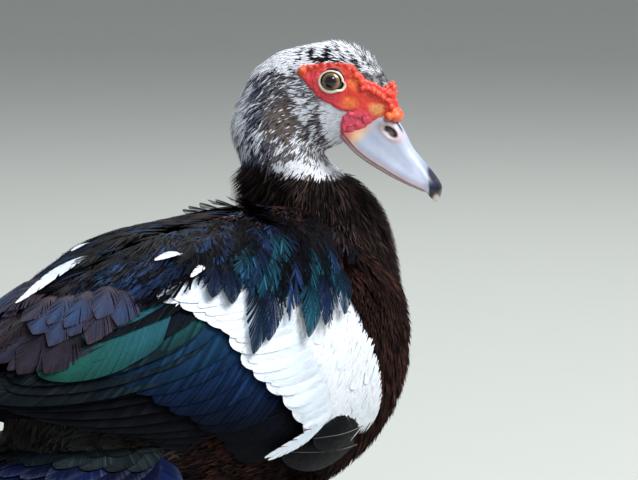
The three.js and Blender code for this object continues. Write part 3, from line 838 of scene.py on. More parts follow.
@dataclass
class Skin:
    """The bird's skin: torso, neck, head and thighs in one, thinner than the solids by the coat's depth."""

    depth: float = 2.4
    head_depth: float = 1.5
    voxel: float = 1.9

    def build(self) -> bpy.types.Object:
        """Fuses the forms, paints the markings and lays the map."""
        turn = round_angles(72)
        ease = -np.cos(np.linspace(0.02, math.pi - 0.02, 60))
        shells = []
        for form, first, last, depth in (
            (TORSO, TORSO.rear, TORSO.front, self.depth), (HEAD, HEAD.rear, HEAD.front, self.head_depth),
        ):
            x = (first + last) / 2 + ease * ((last - first) / 2 - depth)
            shells.append(tube(form.point(x[:, None], turn[None], -depth)))
        z = np.linspace(150, 313, 60)
        depth = self.depth + (self.head_depth - self.depth) * smooth(235, 285, z)
        shells.append(tube(NECK.point(z[:, None], turn[None], -depth[:, None])))
        for side in Side:
            shells.append(Leg(side).thigh(self.depth * 0.7))
        made = fused("skin", shells, self.voxel, 8)
        mesh = made.data
        dress(mesh, COAT_SKIN, Markings().skin(places_of(mesh)))
        lay_flat(made)
        mesh.uv_layers.new(name="Vane")
        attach(made, "root")
        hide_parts("torso", "neck", "head", "thigh_right", "thigh_left")
        return made


class Markings:
    """Where each colour of the plumage lies, on skin and coat alike."""

    white, dark = linear("#f8faff"), linear("#131115")
    tan, grey = linear("#6b5a4c"), linear("#b4b6c0")
    brown, russet, neck = linear("#251817"), linear("#5f3c30"), linear("#0c0a0c")

    def whiteness(self, points: Array) -> tuple[Array, Array]:
        """How white and how tan the head's plumes are.

        Args:
            points: places in mm.
        Returns:
            Shares of white and of tan plumes, from 0 to 1.
        """
        local = HEAD.local(points)
        x, z = local[..., 0], local[..., 2]
        above = ring_height(points)
        cloud = grain(points, 6.0, 3) + 0.7 * grain(points, 2.4, 4) - 0.85
        crown = smooth(24, 34, z + 5 * cloud)
        pale = 0.25 * smooth(7, 3, np.hypot(x - 11, (z - 10) * 0.6))
        cheek = 0.42 + 0.4 * cloud - 0.18 * smooth(12, 5, np.abs(x + 6)) + pale
        band = smooth(4, 1.5, np.abs(x - 15.5 - 0.46 * (6 - z))) * smooth(14, 8, z)
        front = np.interp(z, (-15, -9.5, -2, 8, 14), (24, 22.6, 19.6, 19.2, 17.6))
        wedge = smooth(-2, 1, x - front + 2.5 * cloud)
        wedge = wedge * smooth(18, 12, z) * smooth(-24, -16, z)
        nape = smooth(-16, -27, x) * (0.74 + 0.5 * cloud)
        collar = 0.95 * smooth(-1, 2, above) * smooth(9, 5, above + 6 * cloud) * smooth(-13, -5, x)
        white = np.maximum.reduce([crown * 0.97, np.clip(cheek - 0.25 * band, 0.12, 1), wedge, nape, collar])
        fine = grain(points, 1.9, 43)
        patch = 0.75 * smooth(13, 4, np.hypot((x - 15) * 0.8, (z - 38.5) * 1.6) + 5 * cloud)
        patch = patch * smooth(0.35, 0.6, fine)
        fleck = (0.5 * smooth(16, 34, x) + 0.14) * smooth(0.36, 0.6, 0.6 * fine + 0.4 * cloud + 0.15)
        white = np.clip(white - patch - fleck * smooth(16, 24, z), 0.02, 1)
        white = white * (1 - smooth(-8, -14, x) * smooth(14, 4, above))
        tan = 0.7 * smooth(24, 8, z) * smooth(-12, -4, z) * smooth(-16, -8, x) * smooth(14, 4, x)
        tan = np.maximum(tan, 0.6 * smooth(-8, -14, z) * smooth(-6, 0, x))
        return white, tan

    def skin(self, points: Array) -> Array:
        """Colours of the skin: the coat's markings, darker than the coat over it as painted shade under it.

        Args:
            points: places in mm.
        Returns:
            One colour for each place.
        """
        region = region_of(points)[..., None]
        white, tan = self.whiteness(points)
        # Head, neck and body skin are darker than their coat: painted shade under the plumes
        head = blend(blend(self.dark, self.tan, tan), self.white, white) * 0.7
        body = blend(self.neck, self.brown, smooth(0.3, 0.7, grain(points, 9.0, 5))) * 0.6
        low = blend(self.neck * 0.7, head, smooth(-3, 2, ring_height(points)))
        head = np.where((ring_height(points) < 0)[..., None], low, head)
        return np.where(region == Region.BODY.value, body, np.where(region == Region.NECK.value, low, head))

    def head(self, points: Array, rng: np.random.Generator) -> tuple[Array, Array]:
        """Root and tip colours of the head's plumes: each is white, black or tan, by the shares here.

        Args:
            points: places in mm.
            rng: random draws.
        Returns:
            The two colours of each plume.
        """
        white, tan = self.whiteness(points)
        draw = rng.random(len(points)) * 0.55 + 0.45 * smooth(0.2, 0.8, grain(points, 1.8, 6))
        n = len(points)
        cool = blend(rows_of("#918b93", n), "#6c7590", smooth(-8, -22, HEAD.local(points)[..., 0]))
        pale = smooth(36, 26, HEAD.local(points)[..., 2]) * rng.random(n) ** 1.3
        grey = blend(rows_of(self.dark, n), cool, pale)
        base = blend(grey, self.tan, (rng.random(n) < tan) * (0.4 + 0.6 * rng.random(n)))
        bright = blend(self.grey, self.white, 0.75 + 0.25 * rng.random(len(points)))
        tint = np.where((draw < white)[:, None], bright, base)
        return tint * 0.92, tint

    def neck_plumes(self, points: Array, rng: np.random.Generator) -> tuple[Array, Array]:
        """Root and tip colours of the neck: wet black brown, with paler brown strands between that are
        painted highlights.

        Args:
            points: places in mm.
            rng: random draws.
        Returns:
            The two colours of each plume.
        """
        n = len(points)
        strands = 0.35 + 0.65 * smooth(0.35, 0.75, grain(points * [1, 1, 0.3], 5.0, 7))
        lower = smooth(250 + RAISE, 190 + RAISE, points[:, 2])
        tip = blend(self.neck, "#1a1213", lower)
        # Painted highlights: a few strands catch paler brown
        tip = blend(tip, "#64504a", strands * self.glint(n, rng))
        return tip * 0.45, tip * (0.8 + 0.4 * rng.random((n, 1)))

    def glint(self, n: int, rng: np.random.Generator) -> Array:
        """How much each of n plumes catches the light: most hardly, a few strongly."""
        return rng.random(n) ** 2.6

    def body_plumes(self, points: Array, rng: np.random.Generator) -> tuple[Array, Array]:
        """Root and tip colours of breast, belly and flank: dark brown with russet tips, partly painted
        highlights.

        Args:
            points: places in mm.
            rng: random draws.
        Returns:
            The two colours of each plume.
        """
        n = len(points)
        cloud = smooth(0.35, 0.75, grain(points, 14.0, 8))
        front = smooth(20, 120, points[:, 0])
        brown = np.clip(0.15 + 0.5 * cloud * front + 0.25 * rng.random(n), 0, 1)
        tip = blend(self.neck * 0.6, self.brown, brown)
        # Russet tips on the plumes that glint: partly their own colour, partly painted highlights
        tip = blend(tip, self.russet, self.glint(n, rng) * (0.3 + 0.6 * front * cloud))
        back = smooth(60, 90, points[:, 2] - 150 - RAISE + 40) * smooth(40, 0, points[:, 0])
        tip = blend(tip, "#0f1a2c", back)
        # Rear flanks go pale grey: partly their own grey, partly painted light that lifts them out of their
        # shade
        tip = blend(tip, "#565e58", 0.8 * smooth(-75, -110, points[:, 0]) * rng.random(n))
        return tip * 0.4, tip


# Coat


@dataclass(frozen=True)
class Tuft:
    """One kind of plume, in mm.

    spacing is how far apart the roots stand; prongs is how many points a plume splits in, spread by
    splay degrees; rise is how far its tip stands off and sink how deep its root lies.
    """

    spacing: float
    length: float
    width: float
    rise: float
    sink: float = 1.2
    stations: int = 3
    prongs: int = 1
    splay: float = 14.0
    thick: float = 0.22


def lie_of(points: Array, normals: Array) -> Array:
    """The way the coat lies: back from the bill over the head, down the neck, and back along the body.

    Args:
        points: places on the skin, mm.
        normals: the skin's outward directions there.
    Returns:
        Directions along the skin.
    """
    local = HEAD.local(points)
    to_bill = HEAD.turned([1.0, 0, 0])
    drop = 0.1 + 1.7 * smooth(8, -32, local[..., 0]) + 0.9 * smooth(10, -25, local[..., 2])
    head = -to_bill - UP * drop[..., None]
    neck = np.array([-0.12, 0, -1.0]) + 0 * head
    low = points[..., 2] - RAISE
    x, y = points[..., 0], points[..., 1]
    fall = 0.22 + 1.5 * smooth(30, 135, x) + 1.2 * smooth(190, 215, low) * smooth(20, 80, x)
    body = np.stack([-1 + 0 * fall, 0.25 * np.sign(y) * smooth(150, 60, x), -fall], -1)
    legs = smooth(80, 62, low) * smooth(24, 34, np.abs(points[..., 1]))
    body = blend(body, np.array([-0.5, 0, -1.0]), legs)
    up = smooth(-6, 8, collar_height(points))
    high = smooth(-14, 10, neck_root_height(points))
    way = blend(blend(unit(body), neck, high), unit(head), up)
    return unit(way - normals * dot(way, normals))


def add_prongs(
    maker: MeshMaker, tuft: Tuft, ends: tuple, normals: tuple, ways: tuple, rise: Array, share: Array,
    flat: Array, tints: tuple,
) -> None:
    """Adds one closed, three-sided, pointed prong for each plume, bent from its root to its tip.

    Args:
        maker: what they are added to.
        tuft: the kind of plume.
        ends: roots and tips, (n, 3) each, in mm.
        normals: outward directions at both.
        ways: directions along the surface at both.
        rise: how far each tip stands off.
        share: each one's share of the full size.
        flat: each root's place on OFBake.
        tints: root and tip colours.
    """
    (root, tip), (root_out, tip_out), (root_way, tip_way) = ends, normals, ways
    n, k = len(root), tuft.stations
    t = np.linspace(0, 1, k + 1)[None, :, None]
    reach = np.linalg.norm(tip - root, axis=1)[:, None, None]
    line = hermite(t, root[:, None], tip[:, None], reach, root_way[:, None], tip_way[:, None])
    normal = unit(root_out[:, None] * (1 - t) + tip_out[:, None] * t)
    line = line + normal * (rise[:, None, None] * t**1.4 - tuft.sink * (1 - t) ** 2)
    along = unit(np.gradient(line, axis=1))
    across = unit(np.cross(along, normal))
    shape = np.array([0.55, 1.0, 0.85, 0.6, 0.4])[:k] if k > 2 else np.array([0.8, 1.0])
    half = (tuft.width / 2 * share[:, None] * shape[None] / tuft.prongs**0.5)[..., None]
    body, out = line[:, :k], normal[:, :k] * (tuft.thick * tuft.width)
    rows = np.stack([body - across[:, :k] * half, body + out, body + across[:, :k] * half], 2)
    points = np.concatenate([rows.reshape(n, k * 3, 3), line[:, k:]], 1)
    corner = [(3 * i + a, 3 * i + (a + 1) % 3) for i in range(k) for a in range(3)]
    quads = np.array([[a, a + 3, b + 3, b] for a, b in corner[:-3]])
    tris = np.array([[a, 3 * k, b] for a, b in corner[-3:]])
    start = (np.arange(n) * (3 * k + 1))[:, None, None]
    stations = np.concatenate([np.repeat(np.arange(k) / k, 3), [1.0]])
    sides = np.concatenate([np.tile([-1.0, 0.0, 1.0], k), [0.0]])
    deep = ((1 - stations) ** 1.5)[None, :, None]
    tint = tints[0][:, None] * deep + tints[1][:, None] * (1 - deep)
    patch = flat[:, None] + np.stack([sides, stations], -1)[None] * TUFT_PATCH
    length = stations * tuft.length * share[:, None]
    vane = np.stack([sides * tuft.width / 2 + 0 * length, length], -1) / VANE_SPAN
    maker.add(points, [quads[None] + start, tris[None] + start], tint, patch, vane, soft=False)


class Coat:
    """Grows plumes on the skin.

    tries is how many places are drawn for each plume, and cell the share of its spacing that one keeps free.
    """

    tries, cell = 3, 1.12

    def __init__(self, skin: bpy.types.Object, seed: int) -> None:
        """Reads the skin's faces.

        Args:
            skin: what the plumes grow on.
            seed: for all random draws.
        """
        mesh = skin.data
        self.rng = np.random.default_rng(seed)
        self.tree = BVHTree.FromObject(skin, bpy.context.evaluated_depsgraph_get())
        self.centres = read(mesh.polygons, "center", 3).astype(float) * 1000 - SHIFT
        self.normals = read(mesh.polygons, "normal", 3).astype(float)
        self.areas = read(mesh.polygons, "area")

    def roots(self, spacing: float, here: Callable[[Array], Array]) -> tuple[Array, Array]:
        """Even random places on the skin.

        Args:
            spacing: mm between neighbours.
            here: tells for places whether they belong.
        Returns:
            Places and normals.
        """
        keep = here(self.centres)
        centres, normals, areas = self.centres[keep], self.normals[keep], self.areas[keep]
        n = int(areas.sum() * 1e6 / spacing**2 * self.tries)
        pick = self.rng.choice(len(areas), n, p=areas / areas.sum())
        side = np.sqrt(areas[pick] * 1e6)[:, None]
        shift = (self.rng.random((n, 3)) - 0.5) * side
        points = centres[pick] + shift - normals[pick] * dot(shift, normals[pick])
        cell = np.floor(points / (spacing * self.cell)).astype(np.int64)
        _, first = np.unique(cell_key(cell), return_index=True)
        first = first[here(points[first])]
        return points[first], normals[pick][first]

    def nearest(self, points: Array) -> tuple[Array, Array]:
        """The skin's nearest places to points in mm, and its normals there.

        Args:
            points: places in mm.
        Returns:
            Places and normals.
        """
        found = [self.tree.find_nearest(Vector(p)) for p in (points + SHIFT) / 1000]
        places = np.array([f[0] for f in found]) * 1000 - SHIFT
        return places, np.array([f[1] for f in found])

    def grow(
        self,
        name: str,
        tuft: Tuft,
        here: Callable[[Array], Array],
        colours: Callable,
        size: Callable[[Array], Array] | None = None,
        stand: Callable[[Array], Array] | None = None,
        finish: Finish = BODY_PLUMES,
    ) -> None:
        """Makes one piece of the coat.

        Args:
            name: the piece's name.
            tuft: the kind of plume.
            here: tells where it grows.
            colours: gives root and tip colours.
            size: gives each place's share of the full length.
            stand: gives each place's share of the full rise, 1 where it is left out.
            finish: what the plumes are made of.
        """
        roots, normals = self.roots(tuft.spacing, here)
        n = len(roots)
        tints = colours(roots, self.rng)
        share = (size(roots) if size else np.ones(n)) * self.rng.uniform(0.8, 1.2, n)
        rise = (stand(roots) if stand else np.ones(n)) * tuft.rise * self.rng.uniform(0.5, 1.4, n)
        way = lie_of(roots, normals)
        wobble = np.radians(self.rng.normal(0, 9, n))
        maker = MeshMaker()
        flat = unwrap(roots, region_of(roots))
        spread = np.linspace(-1, 1, tuft.prongs) if tuft.prongs > 1 else [0.0]
        for k, s in enumerate(spread):
            turn = wobble + math.radians(tuft.splay) * s + np.radians(self.rng.normal(0, 3, n))
            long = tuft.length * share * (1 - 0.12 * abs(s) * self.rng.random(n))
            side = np.cross(normals, way)
            head = way * np.cos(turn)[:, None] + side * np.sin(turn)[:, None]
            tip, tip_normal = self.nearest(roots + head * long[:, None])
            head_end = unit(tip - roots)
            head_end = unit(head_end - tip_normal * dot(head_end, tip_normal))
            ways = (head, head_end)
            add_prongs(maker, tuft, (roots, tip), (normals, tip_normal), ways, rise, share, flat, tints)
        made = maker.build(name, finish)
        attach(made, "root")
        log.info("%s: %d plumes", name, n)


# Large feathers


@dataclass(frozen=True)
class Feather:
    """One kind of large feather, its barbs held in groups.

    groups is how many each side of the shaft has, ragged how far they part, tip how pointed it is, from 0
    to 1, camber how much it is arched, as a share of its width, and curl how its barbs' ends lift. slant is
    how far barbs run on towards the tip for each mm that they run out, taper how much a group narrows to
    its end, streak how much groups differ in brightness, partly the barbs' own streaks and partly painted
    highlights, and pale how pale the shaft is. across is how many faces a group has from shaft to edge,
    base the root's share of the width, and shaft half the shaft's thickness in mm.
    """

    groups: int = 12
    across: int = 4
    ragged: float = 0.3
    tip: float = 0.4
    camber: float = 0.18
    curl: float = 0.4
    base: float = 0.45
    shaft: float = 0.45
    slant: float = 1.1
    taper: float = 0.0
    streak: float = 0.09
    pale: float = 0.0


def outline(t: Array, tip: Array, base: float) -> Array:
    """Half width of a feather as a share of its full half width, from root 0 to tip 1.

    Args:
        t: how far along, from 0 to 1.
        tip: how pointed the tip is.
        base: the root's share.
    Returns:
        The shares.
    """
    t = np.clip(t, 0, 1)
    blunt = np.sqrt(np.clip(1 - (np.clip(t - 0.62, 0, 1) / 0.38) ** 2, 0, 1))
    sharp = np.clip((1 - t) / 0.42, 0, 1) ** 0.8
    return (base + (1 - base) * smooth(0, 0.4, t)) * (blunt * (1 - tip) + sharp * tip)


def read_along(rows: Array, t: Array) -> Array:
    """Reads rows of stations (n, stations, 3) at t (n, ...) from 0 to 1.

    Args:
        rows: (n, stations, 3).
        t: (n, ...) from 0 to 1.
    Returns:
        What the rows say there.
    """
    n, k = rows.shape[:2]
    at = np.clip(t, 0, 1) * (k - 1)
    i = np.minimum(at.astype(int), k - 2)
    f = (at - i)[..., None]
    index = np.arange(n).reshape((n,) + (1,) * (t.ndim - 1))
    return rows[index, i] * (1 - f) + rows[index, i + 1] * f


def lay_feathers(
    maker: MeshMaker, kind: Feather, line: Array, normal: Array, width: Array, patch: Array, colour: Callable,
    rng: np.random.Generator,
) -> None:
    """Adds a batch of feathers.

    Args:
        maker: what they are added to.
        kind: their kind.
        line: (n, stations, 3) each shaft, in mm.
        normal: (n, stations, 3) the way its face looks.
        width: (n,) widths in mm.
        patch: (n, 2) each one's place on OFBake.
        colour: gives (n, ..., 3) colours for t along and s across from -1 to 1.
        rng: random draws.
    """
    n, k = line.shape[:2]
    along = unit(np.gradient(line, axis=1))
    normal = unit(normal - along * dot(along, normal))
    across = np.cross(along, normal)
    length = np.linalg.norm(np.diff(line, axis=1), axis=2).sum(1)
    g, m = kind.groups, kind.across
    start = np.arange(g) / g
    near = 0.04 + 0.95 * np.stack([start, start + 1.0 / g], -1)
    s = np.linspace(0, 1, m + 1) ** 0.85
    half = (width / 2)[:, None, None]
    for sign in (-1.0, 1.0):
        jog = rng.normal(0, 1, (n, g, 1)) * kind.ragged
        short = 1 - 0.5 * kind.ragged * rng.random((n, g, 1))
        lift = rng.normal(0, 1, (n, g, 1)) * kind.ragged
        slant = kind.slant * (width / 2 / length)[:, None, None] * (1 + 0.5 * jog)
        slant = np.minimum(slant, 0.75 * (1 - near[None]))
        far = np.minimum(near[None] + slant, 0.999)
        reach = outline(far, kind.tip, kind.base) * half * short
        t = near[None, ..., None] + (far - near[None])[..., None] * s
        t = t + (t.mean(2, keepdims=True) - t) * kind.taper * s**1.5
        y = sign * reach[..., None] * s
        at = read_along(line, t)
        out = read_along(normal, t)
        sideways = read_along(across, t)
        bend = -kind.camber * half[..., None] * (np.abs(y) / half[..., None]) ** 2
        bend = bend + (kind.curl * lift[..., None] + 0.12) * s**2
        points = at + sideways * y[..., None] + out * bend[..., None]
        # Groups differ at random in brightness: partly the barbs' own streaks, partly painted highlights
        tint = colour(t, sign * s + 0 * t) * np.exp(kind.streak * rng.normal(0, 1, (n, g, 1, 1, 1)))
        cell = np.arange(n * g * 2 * (m + 1)).reshape(n, g, 2, m + 1)
        quads = np.stack([cell[:, :, 0, :-1], cell[:, :, 1, :-1], cell[:, :, 1, 1:], cell[:, :, 0, 1:]], -1)
        if sign > 0:
            quads = quads[..., ::-1]
        flat = np.stack([sign * s * FEATHER_PATCH[0] + 0 * t, (t - 0.5) * FEATHER_PATCH[1]], -1)
        where = patch[:, None, None, None] + flat
        own = np.stack([y, t * length[:, None, None, None]], -1) / VANE_SPAN
        maker.add(points, [quads], np.clip(tint, 0, 1), where, own)
    # The shaft: a thin three-sided rod that tapers out before the tip
    t = np.linspace(0, 0.97, k)
    thin = (kind.shaft * (1 - 0.85 * t))[None, :, None]
    rod = np.stack([line - across * thin, line + normal * thin * 0.9, line + across * thin], 2)
    rod = rod + normal[:, :, None] * 0.08
    i, a = 3 * np.arange(k - 1)[:, None], np.arange(3)
    b = (a + 1) % 3
    quads = np.stack([i + a, i + 3 + a, i + 3 + b, i + b], -1).reshape(-1, 4)
    first = (np.arange(n) * 3 * k)[:, None, None]
    tint = colour(np.broadcast_to(t[None, :, None], (n, k, 3)), np.zeros((n, k, 3))) * 1.25 + 0.004
    tint = blend(tint, "#a9a29c", kind.pale + 0 * tint[..., 0])
    where = patch[:, None, None] + np.stack([0 * t, (t - 0.5) * FEATHER_PATCH[1]], -1)[None, :, None]
    where = where + np.zeros((n, k, 3, 1))
    maker.add(rod, [quads[None] + first], np.clip(tint, 0, 1), where)


def painted(root: Array, tip: Array, edge: Array, rim: float = 0.5) -> Callable:
    """A feather's paint: from its root colour to its tip colour, with an edge colour along both sides.

    Args:
        root: the root's colours.
        tip: the tip's.
        edge: the edge's.
        rim: how strong the edge shows.
    Returns:
        What gives the colours of places on the feathers.
    """

    def colour(t: Array, s: Array) -> Array:
        """Colours for places t along and s across.

        Args:
            t: how far along, from 0 to 1.
            s: how far across, from -1 to 1.
        Returns:
            The colours.
        """
        inner, outer, side = (c.reshape((len(c),) + (1,) * (t.ndim - 1) + (3,)) for c in (root, tip, edge))
        share = (smooth(0.55, 1.0, np.abs(s)) * rim + smooth(0.86, 1.0, t) * rim * 0.8).clip(0, 1)
        return blend(blend(inner, outer, smooth(0.15, 0.85, t)), side, share)

    return colour


@dataclass(frozen=True)
class Row:
    """A row, or several, of feathers on the wing chart, in places of x and degrees from low to high.

    Roots of the first row stand on roots, of the last on last_roots, and tips and last_tips are the same
    for their ends. lift is the height over the wing at root and tip, step what each next one lies higher.
    roll is how many degrees each is tipped, jitter how unevenly they lie, and early how soon each one
    reaches its full height.
    """

    count: int
    roots: tuple
    tips: tuple
    width: tuple
    lift: tuple
    kind: Feather
    rows: int = 1
    last_roots: tuple = ()
    last_tips: tuple = ()
    step: tuple = (0.0, 0.0)
    roll: float = 7.0
    jitter: float = 1.6
    early: float = 1.0

    def read(self, line: tuple, share: Array) -> Array:
        """Places along a line of knots that are evenly spread."""
        return np.stack([np.interp(share, np.linspace(0, 1, len(line)), column) for column in zip(*line)], -1)

    def lay(self, maker: MeshMaker, side: Side, shade: Callable, rng: np.random.Generator) -> None:
        """Adds the rows.

        Args:
            maker: what they are added to.
            side: the wing's side.
            shade: gives root, tip and edge colours from tips and a share across.
            rng: random draws.
        """
        for r in range(self.rows):
            deep = r / max(self.rows - 1, 1)
            n = self.count - (r % 2)
            share = (np.arange(n) + 0.5 * (r % 2)) / max(self.count - 1, 1)
            root, tip = (
                self.read(first, share) * (1 - deep) + self.read(last or first, share) * deep
                for first, last in ((self.roots, self.last_roots), (self.tips, self.last_tips))
            )
            root = root + rng.normal(0, 0.5, (n, 2)) * self.jitter
            tip = tip + rng.normal(0, 1.0, (n, 2)) * self.jitter * [1.0, 0.6]
            t = np.linspace(0, 1, 8)[None]
            x = root[:, :1] * (1 - t) + tip[:, :1] * t
            degrees = root[:, 1:] * (1 - t) + tip[:, 1:] * t
            rise = np.minimum(t * self.early, 1.0)
            extra = [self.step[j] * share[:, None] * (self.count - 1) for j in (0, 1)]
            lift = (self.lift[0] + extra[0]) * (1 - rise) + (self.lift[1] + extra[1]) * rise
            lift = lift + rng.normal(0, 0.3, (n, 1)) * t
            line = WING.point(x, degrees, lift, side)
            normal = WING.outwards(x, degrees, side)
            along = unit(np.gradient(line, axis=1))
            roll = math.radians(-side.value * self.roll)
            normal = normal * math.cos(roll) + np.cross(along, normal) * math.sin(roll)
            width = (self.width[0] + (self.width[1] - self.width[0]) * share) * rng.uniform(0.93, 1.07, n)
            colours = painted(*shade(tip, share, rng))
            lay_feathers(maker, self.kind, line, normal, width, WING.flat(root), colours, rng)


@dataclass(frozen=True)
class Thatch:
    """Fine plumes on the wing chart, inside an outline of x and degrees.

    down is how many degrees they turn from straight back towards the belly, and lift how high they root.
    """

    area: tuple
    tuft: Tuft
    down: float
    lift: float

    def lay(self, maker: MeshMaker, side: Side, shade: Callable, rng: np.random.Generator) -> None:
        """Adds the plumes.

        Args:
            maker: what they are added to.
            side: the wing's side.
            shade: gives root and tip colours for places on the chart.
            rng: random draws.
        """
        tuft = self.tuft
        low, high = np.min(self.area, 0), np.max(self.area, 0)
        step = np.array([tuft.spacing, tuft.spacing / 1.5])
        grid = np.meshgrid(*(np.arange(a, b, d) for a, b, d in zip(low, high, step)), indexing="ij")
        place = np.stack(grid, -1).reshape(-1, 2)
        place = place + rng.uniform(-0.6, 0.6, place.shape) * step
        place = place[inside(self.area, place[:, 0], place[:, 1])]
        place = place[rng.permutation(len(place))]
        n = len(place)
        share = rng.uniform(0.75, 1.25, n)
        rise = tuft.rise * rng.uniform(0.4, 1.5, n)
        turn = np.radians(self.down + rng.normal(0, 9, n))
        root = WING.point(place[:, 0], place[:, 1], self.lift + 0 * rise, side)
        out = WING.outwards(place[:, 0], place[:, 1], side)
        flat = WING.flat(place)
        tints = shade(place, rng)
        for s in np.linspace(-1, 1, tuft.prongs) if tuft.prongs > 1 else [0.0]:
            lean = turn + math.radians(tuft.splay) * s + np.radians(rng.normal(0, 3, n))
            go = np.stack([-np.cos(lean), np.sin(lean) / 1.5], -1)
            far = place + go * (tuft.length * share)[:, None]
            tip = WING.point(far[:, 0], far[:, 1], self.lift + 0 * rise, side)
            tip_out = WING.outwards(far[:, 0], far[:, 1], side)
            near = WING.point(place[:, 0] + go[:, 0], place[:, 1] + go[:, 1], self.lift + 0 * rise, side)
            last = WING.point(far[:, 0] - go[:, 0], far[:, 1] - go[:, 1], self.lift + 0 * rise, side)
            ways = (unit(near - root), unit(tip - last))
            add_prongs(maker, tuft, (root, tip), (out, tip_out), ways, rise, share, flat, tints)


def rows_of(colour: str | Array, n: int) -> Array:
    """One colour for each of n feathers, from an sRGB hex value or linear values."""
    return np.broadcast_to(linear(colour) if isinstance(colour, str) else colour, (n, 3)).copy()


def varied(colour: Array, rng: np.random.Generator, amount: float = 0.2) -> Array:
    """Colours a little brighter or darker, one by one."""
    return colour * (1 + amount * rng.uniform(-1, 1, (len(colour), 1)))


def snow(tip: Array, share: Array, rng: np.random.Generator) -> tuple[Array, Array, Array]:
    """White coverts.

    Args:
        tip: where each feather's tip lies.
        share: how far across its row each feather lies, from 0 to 1; not used.
        rng: random draws.
    Returns:
        Colours of root, tip and edge.
    """
    n = len(tip)
    white = varied(rows_of("#e6eaf2", n), rng, 0.05)
    return white * 0.82, white, white * 0.9


def down_white(place: Array, rng: np.random.Generator) -> tuple[Array, Array]:
    """White plumes, a little greyer here and there."""
    white = varied(rows_of("#f4f5f8", len(place)), rng, 0.05)
    return white * 0.95, white


def hackle(place: Array, rng: np.random.Generator) -> tuple[Array, Array]:
    """Hair-like shoulder plumes: black, some brown in front, blue behind, teal over the white.

    The brown and blue strands are partly their own colour and partly painted highlights.

    Args:
        place: x and degrees of each root.
        rng: random draws.
    Returns:
        Colours of root and tip.
    """
    n = len(place)
    x, degrees = place.T
    low = smooth(22, 50, degrees)
    back = smooth(20, -50, x)
    tone = rows_of("#050507", n)
    # Blue and brown strands: partly their own colour, partly painted highlights
    blue = (rng.random(n) < 0.15 + 0.35 * back + 0.3 * low) * rng.random(n) ** 1.5
    tone = blend(tone, "#28486f", blue)
    teal = (rng.random(n) < 0.5) * low * smooth(-60, -30, x) * smooth(25, 5, x) * rng.random(n)
    tone = blend(tone, "#1b5664", teal * 0.8)
    brown = rng.random(n) ** 3 * smooth(-40, 30, x)
    return rows_of("#040406", n), blend(tone, "#4a3630", brown)


def blue_to_green(tip: Array, share: Array, rng: np.random.Generator) -> tuple[Array, Array, Array]:
    """Greater coverts: black at the wing's edge, blue over the middle, green next to the back.

    Args:
        tip: where each feather's tip lies.
        share: how far across its row each feather lies, from 0 to 1.
        rng: random draws.
    Returns:
        Colours of root, tip and edge.
    """
    black, blue, teal, green = (linear(c) for c in ("#08080c", "#132747", "#163550", "#15383a"))
    mid = blend(rows_of(black, len(tip)), blue, smooth(0.15, 0.55, share))
    mid = blend(blend(mid, teal, smooth(0.6, 0.85, share)), green, smooth(0.9, 1.0, share))
    mid = varied(mid, rng)
    dark = blend(mid, black, 0.45 + 0.4 * smooth(0.8, 0.2, share))
    return mid, dark, blend(mid, black, 0 * share + 0.85)


def black_flight(tip: Array, share: Array, rng: np.random.Generator) -> tuple[Array, Array, Array]:
    """Flight feathers: black with a blue gloss, paler worn edges."""
    black = varied(rows_of("#08080b", len(tip)), rng)
    return black * 0.8, black, blend(black, "#232227", 0 * share + 0.55)


def inner_flight(tip: Array, share: Array, rng: np.random.Generator) -> tuple[Array, Array, Array]:
    """Innermost flight feathers: teal at the root, glossy green to the tip, edged black.

    Args:
        tip: where each feather's tip lies.
        share: how far across its row each feather lies, from 0 to 1; not used.
        rng: random draws.
    Returns:
        Colours of root, tip and edge.
    """
    n = len(tip)
    green = varied(rows_of("#121418", n), rng)
    far = smooth(54, 42, tip[:, 1])
    green = blend(green, "#14121a", far)
    return blend(varied(rows_of("#10202a", n), rng), "#0c0b10", far), green, rows_of("#0d1513", n)


def shoulder(tip: Array, share: Array, rng: np.random.Generator) -> tuple[Array, Array, Array]:
    """Shoulder feathers: black roots, blue to teal ends, black edges.

    The blue, in random patches, is partly their own colour and partly painted highlights.

    Args:
        tip: where each feather's tip lies.
        share: how far across its row each feather lies, from 0 to 1.
        rng: random draws.
    Returns:
        Colours of root, tip and edge.
    """
    n = len(tip)
    outer = smooth(30, 62, tip[:, 1])
    rearwards = smooth(10, -70, tip[:, 0])
    # Blue patches: partly the feathers' own colour, partly painted highlights
    blue = (rng.random(n) < 0.1 + 0.4 * rearwards + 0.3 * outer) * rng.uniform(0.3, 1.0, n)
    teal = (rng.random(n) < 0.6 * outer) * smooth(-70, -40, tip[:, 0]) * smooth(25, 0, tip[:, 0])
    brown = (rng.random(n) < 0.5) * smooth(-20, 40, tip[:, 0]) * rng.random(n)
    tone = blend(rows_of("#060609", n), "#1c3052", blue)
    tone = blend(blend(tone, "#143d4b", teal * 0.9), "#2a1d1e", brown)
    return rows_of("#050507", n), varied(tone, rng, 0.3), blend(tone, "#060608", 0 * share + 0.6)


def worn_shoulder(tip: Array, share: Array, rng: np.random.Generator) -> tuple[Array, Array, Array]:
    """Hindmost shoulder feathers: brown, with a blue gloss towards their ends.

    Args:
        tip: where each feather's tip lies.
        share: how far across its row each feather lies, from 0 to 1; not used.
        rng: random draws.
    Returns:
        Colours of root, tip and edge.
    """
    n = len(tip)
    blue = varied(blend(rows_of("#25293a", n), "#2d4c74", rng.random(n)), rng, 0.2)
    brown = varied(rows_of("#3c3136", n), rng)
    return brown * 0.8, blend(brown, blue, 0.5 + 0.4 * rng.random(n)), brown


